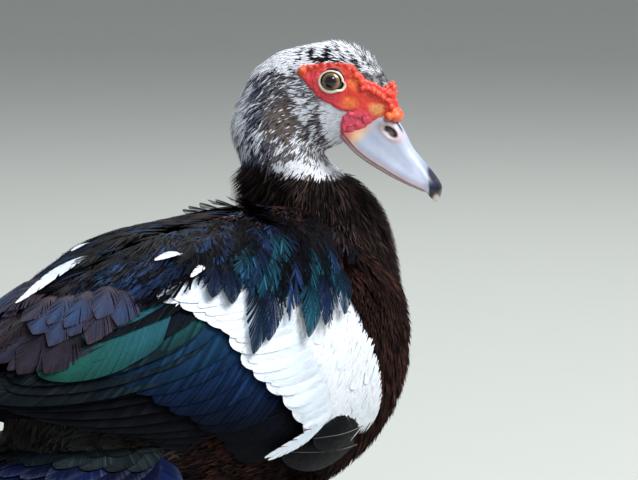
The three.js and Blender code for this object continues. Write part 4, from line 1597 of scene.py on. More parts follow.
def dull_shoulder(tip: Array, share: Array, rng: np.random.Generator) -> tuple[Array, Array, Array]:
    """The shoulder feathers under them: dark brown, hardly glossy.

    Args:
        tip: where each feather's tip lies.
        share: how far across its row each feather lies, from 0 to 1; not used.
        rng: random draws.
    Returns:
        Colours of root, tip and edge.
    """
    n = len(tip)
    brown = varied(rows_of("#2b2225", n), rng, 0.3)
    return brown * 0.35, blend(brown, "#20304a", 0.4 * rng.random(n)), brown * 0.8


def glossy_green(tip: Array, share: Array, rng: np.random.Generator) -> tuple[Array, Array, Array]:
    """The one large inner feather that catches the light: teal at its root, green at its end."""
    n = len(tip)
    return rows_of("#214e59", n), rows_of("#1b4840", n), rows_of("#122c29", n)


def tail_blue(tip: Array, share: Array, rng: np.random.Generator) -> tuple[Array, Array, Array]:
    """Tail feathers: blue black, violet in places, with paler worn edges.

    Args:
        tip: where each feather's tip lies.
        share: how far across its row each feather lies, from 0 to 1.
        rng: random draws.
    Returns:
        Colours of root, tip and edge.
    """
    n = len(tip)
    tone = varied(blend(rows_of("#0c1022", n), "#17234a", rng.random(n)), rng)
    return tone * 0.6, tone, blend(tone, "#4a4f63", 0 * share + 0.55)


def tail_green(tip: Array, share: Array, rng: np.random.Generator) -> tuple[Array, Array, Array]:
    """Tail coverts: dark green and black.

    Args:
        tip: where each feather's tip lies.
        share: how far across its row each feather lies, from 0 to 1.
        rng: random draws.
    Returns:
        Colours of root, tip and edge.
    """
    n = len(tip)
    tone = varied(blend(rows_of("#171b1d", n), "#252f33", rng.random(n)), rng)
    return tone * 0.5, tone, blend(tone, "#101312", 0 * share + 0.7)


SMALL = Feather(
    groups=12, across=3, ragged=0.16, tip=0.5, camber=0.03, curl=0.04, base=0.4, shaft=0.04, slant=2.2,
    taper=0.25, streak=0.015,
)
COVERT = Feather(
    groups=16, ragged=0.08, tip=0.3, camber=0.06, curl=0.08, shaft=0.08, slant=1.8, streak=0.02
)
FLIGHT = Feather(groups=26, across=5, ragged=0.03, tip=0.3, camber=0.1, curl=0.2, shaft=0.4, streak=0.15)
SPIKE = Feather(
    groups=30, ragged=0.1, tip=0.85, camber=0.2, curl=0.3, base=0.6, shaft=0.2, slant=2.2, taper=0.25,
    streak=0.3,
)
ALULA = Feather(groups=26, across=5, ragged=0.04, camber=0.2, curl=0.2, streak=0.1, pale=0.35)
GLOSSY_COVERT = Feather(
    groups=40, across=5, ragged=0.02, tip=0.3, camber=0.05, curl=0.08, shaft=0.25, slant=1.8, streak=0.3
)
GREEN = Feather(
    groups=60, across=6, ragged=0.01, tip=0.35, camber=0.12, curl=0.05, shaft=0.3, slant=1.6, streak=0.07
)
WORN = Feather(
    groups=50, across=6, ragged=0.12, tip=0.95, camber=0.36, curl=0.5, base=0.6, shaft=0.2, slant=1.6,
    taper=0.15, streak=0.14,
)
POINTED = Feather(
    groups=18, across=5, ragged=0.45, tip=0.9, camber=0.12, curl=0.7, shaft=0.2, slant=2.1, taper=0.85,
    streak=0.5,
)


@dataclass(frozen=True)
class Wing:
    """A folded wing: white small coverts in front, glossy greater coverts, black flight feathers below."""

    side: Side
    flight: tuple = (
        (Row(6, ((-50, 98), (-50, 84)), ((-244, 84), (-256, 62)), (15, 15), (-14, -18.4), FLIGHT,
             step=(0, 0.3), roll=10, early=3), black_flight),
        (Row(9, ((-24, 108), (-44, 88), (-56, 66)), ((-124, 108), (-196, 92), (-238, 64)), (24, 26),
             (-10, -12.6), FLIGHT, step=(0.12, 0.42), roll=9, jitter=0.6, early=3), black_flight),
        (Row(7, ((-54, 64), (-54, 24)), ((-220, 70), (-196, 46), (-184, 6)), (34, 34), (-8, -7.6),
             GLOSSY_COVERT, step=(0.3, 0.5), early=3), inner_flight),
        (Row(11, ((-14, 109), (-52, 44)), ((-66, 115), (-98, 99), (-136, 82), (-180, 58)), (24, 32),
             (-7.4, -6.2), GLOSSY_COVERT, step=(0, 0.06), roll=2.5, early=3), blue_to_green),
        (Row(1, ((-88, 42),), ((-192, 60),), (36, 36), (-5.0, -3.2), GREEN, roll=3, jitter=0.2,
             early=3), glossy_green),
        (Row(7, ((-118, 50), (-104, 36), (-90, 24), (-80, 4)),
             ((-190, 56), (-160, 38), (-134, 34), (-142, 6)), (28, 24), (-9, -3.2), WORN, step=(0.4, 0.2),
             roll=3, early=2.4, jitter=2.0), dull_shoulder),
        (Row(5, ((-108, 18), (-118, 14), (-126, 9), (-134, 5), (-142, 2)),
             ((-139, 46), (-162, 53), (-166, 42), (-182, 42), (-184, 28)), (24, 26),
             (-4, 0.6), WORN, roll=0, early=2.4), worn_shoulder),
        (Row(4, ((-112, 14), (-122, 10), (-130, 6), (-136, 2)),
             ((-146, 38), (-164, 36), (-174, 28), (-180, 14)), (20, 20), (-3, 1.6), WORN, roll=0, early=2.4,
             jitter=2.0), worn_shoulder),
        (Row(2, ((-150, 24), (-158, 16)), ((-190, 62), (-205, 57)), (26, 28), (-4, -1.0), WORN, roll=0,
             early=2.4, jitter=0.5), dull_shoulder),
        (Row(4, ((-146, 24), (-148, 16), (-150, 8), (-152, 2)),
             ((-208, 50), (-214, 36), (-216, 22), (-214, 8)), (24, 24), (-6, -2.0), WORN, roll=0, early=2.4,
             jitter=0.5), dull_shoulder),
        (Row(2, ((50, 124), (44, 113)), ((-32, 115.5), (-11, 111)), (28, 23), (-5, -3.0), ALULA,
             step=(0.9, 1.2), roll=4, jitter=0.3, early=2), black_flight),
    )
    white: tuple = (
        (Row(13, ((4, 100), (-46, 34)), ((-22, 105), (-62, 84), (-84, 56), (-98, 38)), (24, 22),
             (-5.4, -3.2), COVERT, roll=2, early=2), snow),
        (Row(22, ((10, 100), (-36, 30)), ((-20, 105), (-60, 82), (-80, 54), (-94, 38)), (11, 10),
             (-4.4, -2.6), COVERT, roll=2, early=2, jitter=1.0), snow),
        (Row(2, ((4, 103), (2, 103.5)), ((-47, 116.6), (-44, 117.6)), (7, 6), (-4, -0.6), SMALL,
             jitter=0.1, early=2), snow),
        (Thatch(((66, 112), (66, 104), (56, 90), (48, 80), (34, 72), (18, 64), (0, 40), (-50, 30), (-78, 33),
                 (-84, 40), (-60, 54), (-40, 74), (-8, 96), (14, 102), (36, 112)),
                Tuft(1.9, 12.0, 1.5, 0.3, sink=0.3, thick=0.04), 40, -3.9), down_white),
        (Row(24, ((66, 108), (56, 92), (36, 76), (10, 46)), ((46, 112), (38, 96), (18, 80), (-10, 50)),
             (12, 11), (-5.2, -4.2), SMALL, rows=12, last_roots=((16, 98), (-36, 36)),
             last_tips=((-12, 105), (-78, 44)), roll=1.5), snow),
        (Row(2, ((-62, 22), (-58, 32)), ((-86, 20.5), (-79, 37)), (7, 4.5), (-1, 1.6), SMALL, early=2,
             jitter=0.2), snow),
    )

    # The photo shows one white streak along the back, just over the spine
    streak: tuple = (
        (Row(3, ((-84, 10), (-88, 11), (-92, 9)), ((-164, 5), (-150, 8), (-136, 9)), (8, 8), (-1, 1.8), SMALL,
             early=2, jitter=0.2), snow),
    )

    def build(self) -> None:
        """Makes the wing's pieces."""
        label = self.side.label
        rng = np.random.default_rng(11)
        white = self.white + (self.streak if self.side is Side.LEFT else ())
        for part, rows, finish in (("flight", self.flight, GLOSS_FEATHERS), ("white", white, WHITE_FEATHERS)):
            maker = MeshMaker()
            for row, shade in rows:
                row.lay(maker, self.side, shade, rng)
            made = maker.build(f"wing_{part}_{label}", finish)
            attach(made, "root")
            log.info("wing %s %s: %d faces", part, label, len(made.data.polygons))
            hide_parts(f"wing_{label}")
        self.down()

    def down(self) -> None:
        """The dark down that fills the wing under its coverts."""
        u, v = np.meshgrid(np.linspace(0, 1, 26), np.linspace(0, 1, 30), indexing="ij")
        x = 58 - 18 * np.abs(v - 0.55) * 1.6 + u * (-120 + 20 * v)
        degrees = 38 + 74 * v
        rim = np.minimum.reduce([np.ones_like(u), u * 6, v * 8, (1 - v) * 6, (1 - u) * 4])
        top = WING.point(x, degrees, -8.5 - 4 * (1 - rim) ** 2, self.side)
        maker = MeshMaker()
        points, faces = tube(top, closed=False)
        white = inside(((70, 106), (40, 60), (-30, 36), (-60, 40), (-56, 84), (-10, 100)), x, degrees)
        tint = np.where(white[..., None], linear("#c9cfda"), linear("#101015")).reshape(-1, 3)
        maker.add(points, faces, tint, np.stack([u, v], -1).reshape(-1, 2) * 0.9 + 0.05)
        made = maker.build(f"wing_down_{self.side.label}", BODY_PLUMES)
        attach(made, "root")


@dataclass(frozen=True)
class Mantle:
    """Shoulder and back feathers of one side, in tiers from the wing up to the spine."""

    side: Side
    tiers: tuple = tuple(
        Row(count, roots, tips, width, lift, POINTED, roll=roll, early=3)
        for count, roots, tips, width, lift, roll in (
            (10, ((26, 33), (-40, 20)), ((0, 72), (-44, 64), (-72, 42)), (12, 12), (-4.4, 0.6), 5),
            (14, ((34, 31), (-38, 18)), ((10, 64), (-42, 58), (-76, 34)), (13, 12), (-4.2, 1.0), 5),
            (10, ((-62, 26), (-56, 4)), ((-126, 38), (-118, 6)), (17, 17), (-5, -0.6), 7),
            (10, ((-38, 26), (-36, 4)), ((-108, 42), (-98, 7)), (16, 16), (-5, 0), 7),
            (15, ((44, 28), (-38, 16)), ((20, 57), (-46, 50), (-80, 30)), (13, 13), (-4.4, 1.2), 5),
            (15, ((52, 22), (-34, 12)), ((28, 48), (-76, 26)), (13, 14), (-5, 1.0), 5),
            (14, ((60, 15), (-28, 9)), ((34, 38), (-70, 24)), (13, 14), (-6, 0.4), 4),
            (13, ((66, 6), (-22, 2)), ((36, 22), (-62, 12)), (13, 14), (-8, -1.0), 3),
        )
    )
    collar: Row = Row(
        10, ((80, 3), (84, 40)), ((46, 5), (46, 48)), (12, 12), (-10, -2), POINTED, roll=3, early=2
    )
    spikes: Row = Row(
        7, ((38, 44), (20, 44), (6, 44), (-26, 44), (-36, 46), (-44, 30), (-50, 28)),
        ((14, 68), (-6, 70), (-21, 73), (-51, 72), (-63, 76), (-67, 55), (-77, 50)), (16, 17), (-3, 1.8),
        SPIKE, roll=2, jitter=0.4, early=3,
    )
    tuft: Row = Row(
        6, ((46, 2), (42, 20)), ((20, 2), (10, 15)), (13, 13), (-3, 8), SPIKE, step=(0, -0.9), jitter=2.4
    )
    hackles: Thatch = Thatch(
        ((74, 0), (70, 34), (44, 46), (-20, 48), (-56, 34), (-72, 22), (-112, 20), (-144, 12), (-150, 0)),
        Tuft(4.2, 24.0, 2.6, 1.2, sink=1.5, stations=4, prongs=3, splay=8, thick=0.1), 28, -1.4,
    )

    def build(self) -> None:
        """Makes the mantle's piece."""
        maker = MeshMaker()
        rng = np.random.default_rng(31)
        for row in (*self.tiers, self.collar, self.spikes):
            row.lay(maker, self.side, shoulder, rng)
        self.tuft.lay(maker, self.side, black_flight, rng)
        self.hackles.lay(maker, self.side, hackle, rng)
        label = self.side.label
        made = maker.build(f"mantle_feathers_{label}", GLOSS_FEATHERS)
        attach(made, "root")
        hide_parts(f"mantle_{label}")
        log.info("mantle %s: %d faces", label, len(made.data.polygons))


@dataclass(frozen=True)
class Fan:
    """One layer of the tail: feathers from start to end mm from the hub, over spread degrees to both sides.

    The outermost feather is shorter and narrower than the middle one by those amounts, and power is how
    late they shorten. lift is the height at root and tip.
    """

    count: int
    spread: float
    start: float
    end: float
    shorter: float
    lift: tuple
    width: float
    narrower: float
    kind: Feather
    shade: Callable
    power: float = 2.0


@dataclass(frozen=True)
class Tail:
    """A fan of long feathers about one hub, with coverts over and under its roots."""

    hub: tuple = (-35.0, 133.0)
    droop: float = 0.12
    arch: float = 0.0009
    fans: tuple = (
        Fan(18, 36, 92, 240, 52, (0, 0), 33, 5, FLIGHT, tail_blue, 1.8),
        Fan(13, 30, 70, 172, 20, (3.2, 1.2), 25, 3, GLOSSY_COVERT, tail_blue),
        Fan(12, 30, 70, 150, 20, (4.6, 2.6), 25, 3, GLOSSY_COVERT, tail_green),
        Fan(11, 30, 70, 128, 20, (5.8, 3.8), 25, 3, GLOSSY_COVERT, tail_green),
        Fan(11, 28, 70, 160, 18, (-6.5, -3.5), 24, 2, WORN, tail_green),
        Fan(11, 28, 70, 136, 18, (-8.5, -5.5), 24, 2, WORN, tail_green),
    )

    def point(self, r: Array, bearing: Array, rise: Array) -> Array:
        """A place on the fan: distance from the hub, degrees from straight back, height over it.

        Args:
            r: mm from the hub.
            bearing: degrees from straight back.
            rise: mm over the fan.
        Returns:
            The place.
        """
        y = r * np.sin(np.radians(bearing))
        fall = self.droop * np.maximum(0, r - 80) + self.arch * y * y
        x = self.hub[0] - r * np.cos(np.radians(bearing))
        return np.stack([x, y, self.hub[1] + RAISE - fall + rise], -1)

    def lay(self, maker: MeshMaker, fan: Fan, rng: np.random.Generator) -> None:
        """Adds one fan of feathers.

        Args:
            maker: what they are added to.
            fan: what they are like.
            rng: random draws.
        """
        count, lift = fan.count, fan.lift
        s = np.linspace(-1, 1, count)
        outer = np.abs(s)
        t = np.linspace(0, 1, 8)[None]
        start = fan.start + 0 * outer
        end = fan.end - fan.shorter * outer**fan.power + rng.normal(0, 2, count)
        r = start[:, None] * (1 - t) + end[:, None] * t
        high = [lift[j] - 2.2 * outer + 0.15 * (np.arange(count) % 2) for j in (0, 1)]
        bearing = (s * fan.spread + rng.normal(0, 0.6, count))[:, None] + 0 * t
        line = self.point(r, bearing, high[0][:, None] * (1 - t) + high[1][:, None] * t)
        roll = np.radians(5) * np.sign(s + 1e-6)[:, None, None]
        along = unit(np.gradient(line, axis=1))
        normal = UP * np.cos(roll) + np.cross(along, UP + 0 * line) * np.sin(roll)
        patch = np.stack([0.5 + 0.45 * s, 0.1 + 0.8 * start / 260], -1)
        order = np.argsort(-outer)
        shades = painted(*fan.shade(np.stack([r[:, -1], bearing[:, 0]], -1)[order], outer[order], rng))
        width = (fan.width - fan.narrower * outer)[order]
        lay_feathers(maker, fan.kind, line[order], normal[order], width, patch[order], shades, rng)

    def build(self) -> None:
        """Makes the tail's piece."""
        rng = np.random.default_rng(41)
        maker = MeshMaker()
        for fan in self.fans:
            self.lay(maker, fan, rng)
        made = maker.build("tail_feathers", GLOSS_FEATHERS)
        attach(made, "root")
        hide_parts("tail")
        log.info("tail: %d faces", len(made.data.polygons))


# Head: bare face, eyes and bill


@dataclass(frozen=True)
class Face:
    """Bare red skin from behind the eye to the bill, swollen in lumps, with a row of beads along its top.

    All places are x and z of the head's own frame, seen from the side.
    """

    mask: tuple = (
        (2.75, 30.5), (4.5, 33.2), (10.2, 33.5), (13.8, 34.5), (19.5, 34.8), (25, 35), (29.2, 34.8),
        (34, 33.8), (36.5, 31.2), (38.8, 28.2), (42.2, 25.2), (47, 22.8), (50.2, 20.2), (53.2, 21),
        (54, 23.2), (55.8, 20.5), (57, 15), (58.5, 9), (59, 2), (55, 2), (50, 4.5), (46.8, 3.2),
        (44.2, -0.2), (42.5, -3.5), (40.2, -5), (35.2, -5.4), (32, -6.4), (31, -10), (28, -13), (28, -6.5),
        (28.3, 0), (29.5, 3.5), (31.5, 6), (36, 6.6), (36.4, 9), (32.5, 9.2), (29, 8.2), (25.8, 9.8),
        (22.2, 12.2), (18.8, 13.8), (16, 16), (13.2, 19), (10.2, 21.8), (8, 24.2), (6.5, 27), (3.5, 28),
    )
    # x, z and radius of the beads, from behind the eye along the brow to the bill, then over the forehead
    beads: tuple = (
        (4.8, 31, 2.5), (9.5, 32.8, 1.3), (12.8, 33.9, 1.2), (16.8, 34.6, 1.2), (21, 35, 1.1),
        (26, 35, 1.2), (30.5, 34, 1.3), (34.5, 31.5, 1.5), (35.8, 28, 2.0), (39, 24.5, 2.3),
        (39.5, 21, 1.9), (42.5, 20.8, 1.7), (45.5, 19.2, 2.5), (48.5, 17.2, 2.0), (50.8, 15, 2.3),
        (53.5, 13.2, 2.0), (54.8, 9.8, 2.1), (56, 6.8, 2.3), (54, 22.2, 1.8), (55.2, 20, 1.8),
        (55.2, 17, 1.8), (53.5, 17.2, 1.5),
    )
    knob: tuple = (57.0, 4.0, 3.7)
    pitch: float = 1.15
    bead_size: float = 0.93
    bead_out: float = 0.2
    rings_at: tuple = (23.5, 25.3)

    def lumps(self, side: Side, rng: np.random.Generator) -> tuple[Array, Array]:
        """All lumps of one side, in the head's own frame.

        Args:
            side: the side of the bird.
            rng: random draws.
        Returns:
            The lumps' centres and radii.
        """
        pitch = self.pitch
        gx, gz = np.meshgrid(np.arange(-4, 60, pitch), np.arange(-15, 35, pitch), indexing="ij")
        x = (gx + (np.arange(gx.shape[1]) % 2) * pitch / 2 + rng.normal(0, 0.2, gx.shape)).ravel()
        z = (gz + rng.normal(0, 0.2, gz.shape)).ravel()
        keep = inside(self.mask, x, z)
        x, z = x[keep], z[keep]
        # Lumps are high on the lobe by the bill and low round the eye, and cracks part those of the lobe
        lobe = smooth(9, 4, z) * smooth(24, 28, x) * smooth(46, 42, x)
        beads = np.array(self.beads)
        crack = smooth(0.55, 0.5, np.abs(grain(np.stack([x, z, 0 * x], -1), 5.0, 31) - 0.5) * 6)
        swell = grain(np.stack([x, z, 0 * x], -1), 3.2, 35)
        r = np.concatenate([1.5 + 0.12 * rng.random(len(x)), beads[:, 2] * self.bead_size])
        sink = 1.7 - 0.9 * lobe * (1 - 0.7 * crack) - 0.7 * swell + 0.12 * rng.random(len(x))
        sink = np.concatenate([sink, beads[:, 2] * -self.bead_out])
        x, z = np.concatenate([x, beads[:, 0]]), np.concatenate([z, beads[:, 1]])
        y = HEAD.width_at(x, z)
        here = np.stack([x, side.value * y, z], -1)
        step = 0.7
        slope_x = (HEAD.width_at(x + step, z) - HEAD.width_at(x - step, z)) / (2 * step)
        slope_z = (HEAD.width_at(x, z + step) - HEAD.width_at(x, z - step)) / (2 * step)
        out = unit(np.stack([-slope_x.clip(-3, 3), np.full(len(x), side.value), -slope_z.clip(-3, 3)], -1))
        return here - out * sink[:, None], r

    def build(self) -> None:
        """Makes the face of both sides."""
        rng = np.random.default_rng(5)
        shells = []
        for side in Side:
            centres, radii = self.lumps(side, rng)
            shells.append(balls(HEAD.place(centres), radii, detail=1))
            x, z, r = self.knob
            places = [[x, side.value * 3.8, z], [x - 3.0, side.value * 8.2, z + 0.4]]
            shells.append(balls(HEAD.place(places), np.array([r, 2.6])))
        made = fused("face_skin", shells, 0.42, 2)
        dress(made.data, BARE_SKIN, self.colours(HEAD.local(places_of(made.data))))
        lay_flat(made)
        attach(made, "root")
        log.info("face: %d faces", len(made.data.polygons))

    def colours(self, local: Array) -> Array:
        """Pink round the eye, red on the lobe and beads, orange on the knob and under the eye.

        Dark red painted shade lies in the crevices round and between the beads and in cracks between the
        lumps.

        Args:
            local: places in the head's own frame.
        Returns:
            One colour for each place.
        """
        x, y, z = local.T
        pink, red, orange = "#dd3f48", "#e0402c", "#f28a3a"
        n = len(x)
        tone = blend(rows_of(pink, n), red, smooth(24, 34, x) * smooth(6, 14, z) + smooth(29, 31.5, z) * 0.8)
        lobe = smooth(9, 5, z + 0.2 * (x - 36)) * smooth(26, 29, x) * smooth(46, 42, x)
        tone = blend(tone, "#e2526a", lobe * 0.9)
        beads = np.array(self.beads)
        gaps = np.hypot(x[:, None] - beads[:, 0], z[:, None] - beads[:, 1]) - beads[:, 2]
        gap, second = np.partition(gaps, 1)[:, :2].T
        tone = blend(tone, "#ec5038", 0.85 * smooth(0.8, -0.6, gap))
        # Painted shade: dark red in the crevices round the beads and between them
        seam = smooth(0.1, 0.5, gap) * smooth(1.5, 0.8, gap) * smooth(10, 14, z + 0.2 * (x - 30))
        seam = np.maximum(seam, 1.1 * smooth(0.9, 0.2, second - gap) * smooth(1.2, 0.4, second))
        tone = blend(tone, "#a82226", 0.6 * seam)
        x, z = x + 3 * grain(local, 4.0, 41) - 1.5, z + 3 * grain(local, 4.0, 42) - 1.5
        amber = np.maximum.reduce([
            smooth(6.5, 2, np.hypot(x - 32, (z - 12.6) * 1.5)), 0.7 * smooth(5, 2, np.hypot(x - 35, z - 24)),
            smooth(6, 2, np.hypot(x - 49, z - 6.4)), 0.8 * smooth(5.5, 3.5, np.hypot(x - 57, z - 4)),
            smooth(4, 2.2, np.hypot(x - 4.8, z - 31)) * 0.5,
            0.6 * smooth(3, 1, np.abs(x - 33)) * smooth(-4, -8, z),
        ])
        tone = blend(tone, orange, amber * 0.6)
        tone = blend(tone, "#f6c27c", smooth(5, 2, np.hypot(x - 47, z - 9)) * 0.5)
        # Dark red lines of painted shade where cracks sink in between the lumps, most on the lobe and in
        # rings round the eye
        crack_shade = np.abs(grain(local * [1, 0.6, 1], 3.4, 9) - 0.5)
        x, _, z = local.T
        ahead, above = x - self.rings_at[0], z - self.rings_at[1]
        rings = np.abs(np.mod(np.hypot(ahead, above * 1.1) + 1.2 * grain(local, 4.0, 33), 1.9) - 0.95)
        near_eye = smooth(16, 12, np.hypot(ahead, above)) * (x < 24)
        line = smooth(0.045, 0.012, crack_shade) * (0.3 + 0.45 * lobe)
        line = np.maximum(line, 0.5 * smooth(0.3, 0.1, rings) * near_eye)
        tone = blend(tone, "#7c1a22", line)
        return tone * (0.85 + 0.3 * grain(local, 1.2, 34))[:, None]


@dataclass(frozen=True)
class Eye:
    """One eye and its pale lid."""

    side: Side
    iris: float = 5.5
    pupil: float = 2.7
    opening: tuple = (6.7, 5.9)
    lid: float = 0.75

    def build(self) -> None:
        """Makes the eyeball, with iris and pupil, and the ring of the lid."""
        label = self.side.label
        x, y, z = HEAD.eye
        r = HEAD.eye_radius
        centre = HEAD.place([x, self.side.value * y, z])
        out = unit(HEAD.turned([0.06, self.side.value, 0.04]))
        ahead = unit(np.cross(UP, out))
        up = np.cross(out, ahead)
        t = np.concatenate([np.linspace(0.02, 0.9, 44), np.linspace(0.94, math.pi - 0.05, 26)])
        a = round_angles(96)
        # The cornea swells a little in front of the iris
        bulge = r + 0.9 * smooth(0.86, 0.2, t)
        rings = centre + bulge[:, None, None] * (
            np.cos(t)[:, None, None] * out
            + np.sin(t)[:, None, None] * (np.cos(a)[None, :, None] * ahead + np.sin(a)[None, :, None] * up)
        )
        points, faces = tube(rings)
        distance = np.concatenate([np.repeat(np.sin(t) * r * np.where(t < 1.5, 1, 9), len(a)), [0, 99]])
        turn = np.concatenate([np.tile(a, len(t)), [0, 0]])
        rays = grain(np.stack([np.cos(turn) * 6, np.sin(turn) * 6, distance * 0.25], -1), 0.55, 12)
        bright = smooth(self.pupil, self.iris - 0.9, distance) * (0.35 + 0.7 * rays)
        iris = blend(rows_of("#3d2c1c", len(turn)), "#94784c", bright)
        tint = blend(iris, "#030304", smooth(self.pupil + 0.25, self.pupil - 0.15, distance))
        tint = blend(tint, "#050403", smooth(self.iris - 0.7, self.iris - 0.3, distance))
        maker = MeshMaker()
        flat = 0.5 + 0.04 * distance.clip(0, 9)[:, None] * np.stack([np.cos(turn), np.sin(turn)], -1)
        maker.add(points, faces, tint, flat)
        eye = maker.build(f"eyeball_{label}", WET_EYE)
        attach(eye, "root")
        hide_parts(f"eye_{label}")
        self.ring(centre, out, ahead, up)

    def ring(self, centre: Array, out: Array, ahead: Array, up: Array) -> None:
        """The lid: a soft pale ring on the eyeball, drawn to a corner in front.

        Args:
            centre: the eyeball's middle.
            out: the way the eye looks.
            ahead: the way to its front corner.
            up: the way up along it.
        """
        a = round_angles(120)
        # The corner in front is drawn out and a little down
        corner = 1 + 0.24 * smooth(0.86, 1.0, np.cos(a + 0.5))
        wide, tall = self.opening[0] * corner * np.cos(a), self.opening[1] * corner * np.sin(a)
        around = np.hypot(wide, tall)
        section = round_angles(14)
        points = []
        for s in section:
            radial = 1 + self.lid * (1.15 - 0.35 * np.sin(a)) * np.cos(s) / around
            depth = np.sqrt(np.maximum(HEAD.eye_radius**2 - around**2 * 0.72, 9.0))
            depth = depth + self.lid * 0.7 * np.sin(s) + 0.25
            place = centre + out * depth[:, None] + ahead * (wide * radial)[:, None]
            points.append(place + up * (tall * radial)[:, None])
        rings = np.stack(points, 1)
        closed = np.concatenate([rings, rings[:1]], 0)
        n, m = closed.shape[:2]
        mesh_points, faces = tube(closed)
        shade = 0.5 + 0.5 * np.cos(np.concatenate([np.tile(section, n), [0, 0]]))
        folds = grain(mesh_points, 0.9, 14)
        pale = rows_of("#efe3cf", len(mesh_points)) * (0.85 + 0.25 * folds)[:, None]
        tint = blend(rows_of("#140c0a", len(mesh_points)), pale, smooth(0.1, 0.35, shade))
        maker = MeshMaker()
        flat = np.stack([np.repeat(np.arange(n), m) / n, np.tile(np.arange(m), n) / m], -1)
        maker.add(mesh_points[: n * m], faces[:1], tint[: n * m], flat)
        lid = maker.build(f"eyelid_{self.side.label}", LID_SKIN)
        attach(lid, "root")


@dataclass(frozen=True)
class Bill:
    """Bill in a frame along it: p forwards from the corner of the mouth, q up, y to the left."""

    gape: tuple = (30.0, -8.0)
    slope: float = 41.0
    ridge: tuple = (
        (-4, 27), (16, 25), (24, 22.4), (32, 19.2), (39, 18), (48, 16.6), (55, 15), (60, 12.6), (63, 8)
    )
    edge: tuple = ((-4, 0.6), (0, 0), (10, -1.4), (29, 0.8), (44, 4.3), (55, 7.4), (60, 6.2), (63, 5.6))
    keel: tuple = ((-4, -4.5), (0, -5), (10, -5.4), (29, -2.6), (44, 1.6), (55, 5.4))
    half: tuple = ((-4, 12.5), (16, 12), (30, 10.8), (44, 11.2), (53, 10.6), (58, 8.6), (61, 6), (63, 2.6))
    nostril: tuple = (16.5, 18.8)
    nostril_size: tuple = (5.6, 2.6)
    black_from: float = 57.5
    nail_from: float = 54.5
    end: float = 63.0

    def place(self, p: Array, y: Array, q: Array) -> Array:
        """From the bill's frame to the bird's.

        Args:
            p: how far forwards.
            y: how far left.
            q: how far up.
        Returns:
            The place.
        """
        c, s = math.cos(math.radians(self.slope)), math.sin(math.radians(self.slope))
        x, z = self.gape[0] + p * c + q * s, self.gape[1] - p * s + q * c
        return HEAD.place(np.stack(np.broadcast_arrays(x, y, z), -1))

    def upper(self, first: float, last: float, grow: float, count: int) -> tuple[Array, list[Array], Array]:
        """Upper bill between two places, with its nostrils pressed in; also each point's p, y and q.

        Args:
            first: p where it starts.
            last: p where it ends.
            grow: mm that it lies outside the form.
            count: how many rings.
        Returns:
            Points and faces, and each point's p, y, q and share of the nostril.
        """
        p = np.linspace(first, last, count)
        if last >= self.end:
            p = np.concatenate([p[p < self.end - 3], self.end - 3 * np.cos(np.linspace(0, math.pi / 2, 12))])
        p = p[:, None]
        a = np.linspace(0, math.pi, 61)[None]
        base, half = through(self.edge, p), through(self.half, p)
        rise = through(self.ridge, p) - base
        square = 2 + 0.6 * p.clip(0) / self.end
        y = (half + grow) * np.sign(np.cos(a)) * np.abs(np.cos(a)) ** (2 / square)
        q = base + (rise + grow) * np.sin(a) ** (1.25 - 0.35 * p.clip(0) / self.end) - grow * 0.4
        # Side walls are drawn in under the ridge and swell again towards the cutting edge
        y = y * (1 - 0.1 * smooth(0.15, 0.5, np.sin(a)) * smooth(0.9, 0.6, np.sin(a)) * smooth(55, 30, p))
        away = self.from_nostril(p, q)
        hole = smooth(1.0, 0.55, away)
        rim = smooth(1.7, 1.15, away) * (1 - hole)
        y = y - np.sign(y) * (2.6 * hole - 0.35 * rim)
        under = np.array([-0.8, -0.5, 0, 0.5, 0.8])[None]
        y = np.concatenate([y, under * half], 1)
        q = np.concatenate([q, base + 0.08 * rise + 0 * under], 1)
        p = p + 0 * y
        points, faces = tube(self.place(p, y, q)[:, ::-1])
        own = np.stack([p, y, q, np.concatenate([hole, 0 * p[:, :5]], 1)], -1)[:, ::-1].reshape(-1, 4)
        return points, faces, np.concatenate([own, own[:1], own[-1:]])

    def build(self) -> None:
        """Makes upper bill, nail and lower bill."""
        points, faces, own = self.upper(-4, self.nail_from + 0.6, 0.0, 130)
        tint = self.upper_colours(own)
        self.piece("bill_upper_horn", "bill_upper", (points, faces), tint, BILL_HORN, own)
        points, faces, own = self.upper(self.nail_from, self.end, 0.22, 60)
        p, y, q = own[:, 0], own[:, 1], own[:, 2]
        black = rows_of("#12111a", len(p))
        tint = blend(black, "#2c3452", smooth(59, 54, p) * smooth(9, 13, q) * 0.7)
        tint = blend(tint, "#c9b8ad", smooth(9.5, 7.0, q - 0.25 * np.abs(y)) * smooth(59, 61.5, p))
        tint = blend(tint, "#a8b0c4", 1 - self.blackness(own))
        self.piece("bill_nail_horn", "bill_nail", (points, faces), tint, NAIL_HORN, own)
        p = np.linspace(-3, 54.2, 90)[:, None]
        a = np.linspace(0, math.pi, 25)[None]
        top, half = through(self.edge, p) - 0.25, through(self.half, p) * 0.93
        low = np.minimum(through(self.keel, p), top - 1.2)
        y = np.concatenate([half * np.cos(a), half * np.array([[-0.6, 0, 0.6]])], 1)
        q = np.concatenate([top - (top - low) * np.sin(a) ** 0.8, top - 0.1 + 0 * p + np.zeros((1, 3))], 1)
        p = p + 0 * y
        form = tube(self.place(p, y, q))
        own = np.stack([p, y, q, 0 * p], -1).reshape(-1, 4)
        own = np.concatenate([own, own[:1], own[-1:]])
        tint = blend(rows_of("#d8c3c4", len(own)), "#b9707a", smooth(14, 0, own[:, 0]) * 0.7)
        self.piece("bill_lower_horn", "bill_lower", form, tint, BILL_HORN, own)

    def blackness(self, own: Array) -> Array:
        """Share of black: the nail's colour runs back along the ridge and starts late at the cutting edge."""
        return smooth(-0.9, 0.9, self.past_black(own))

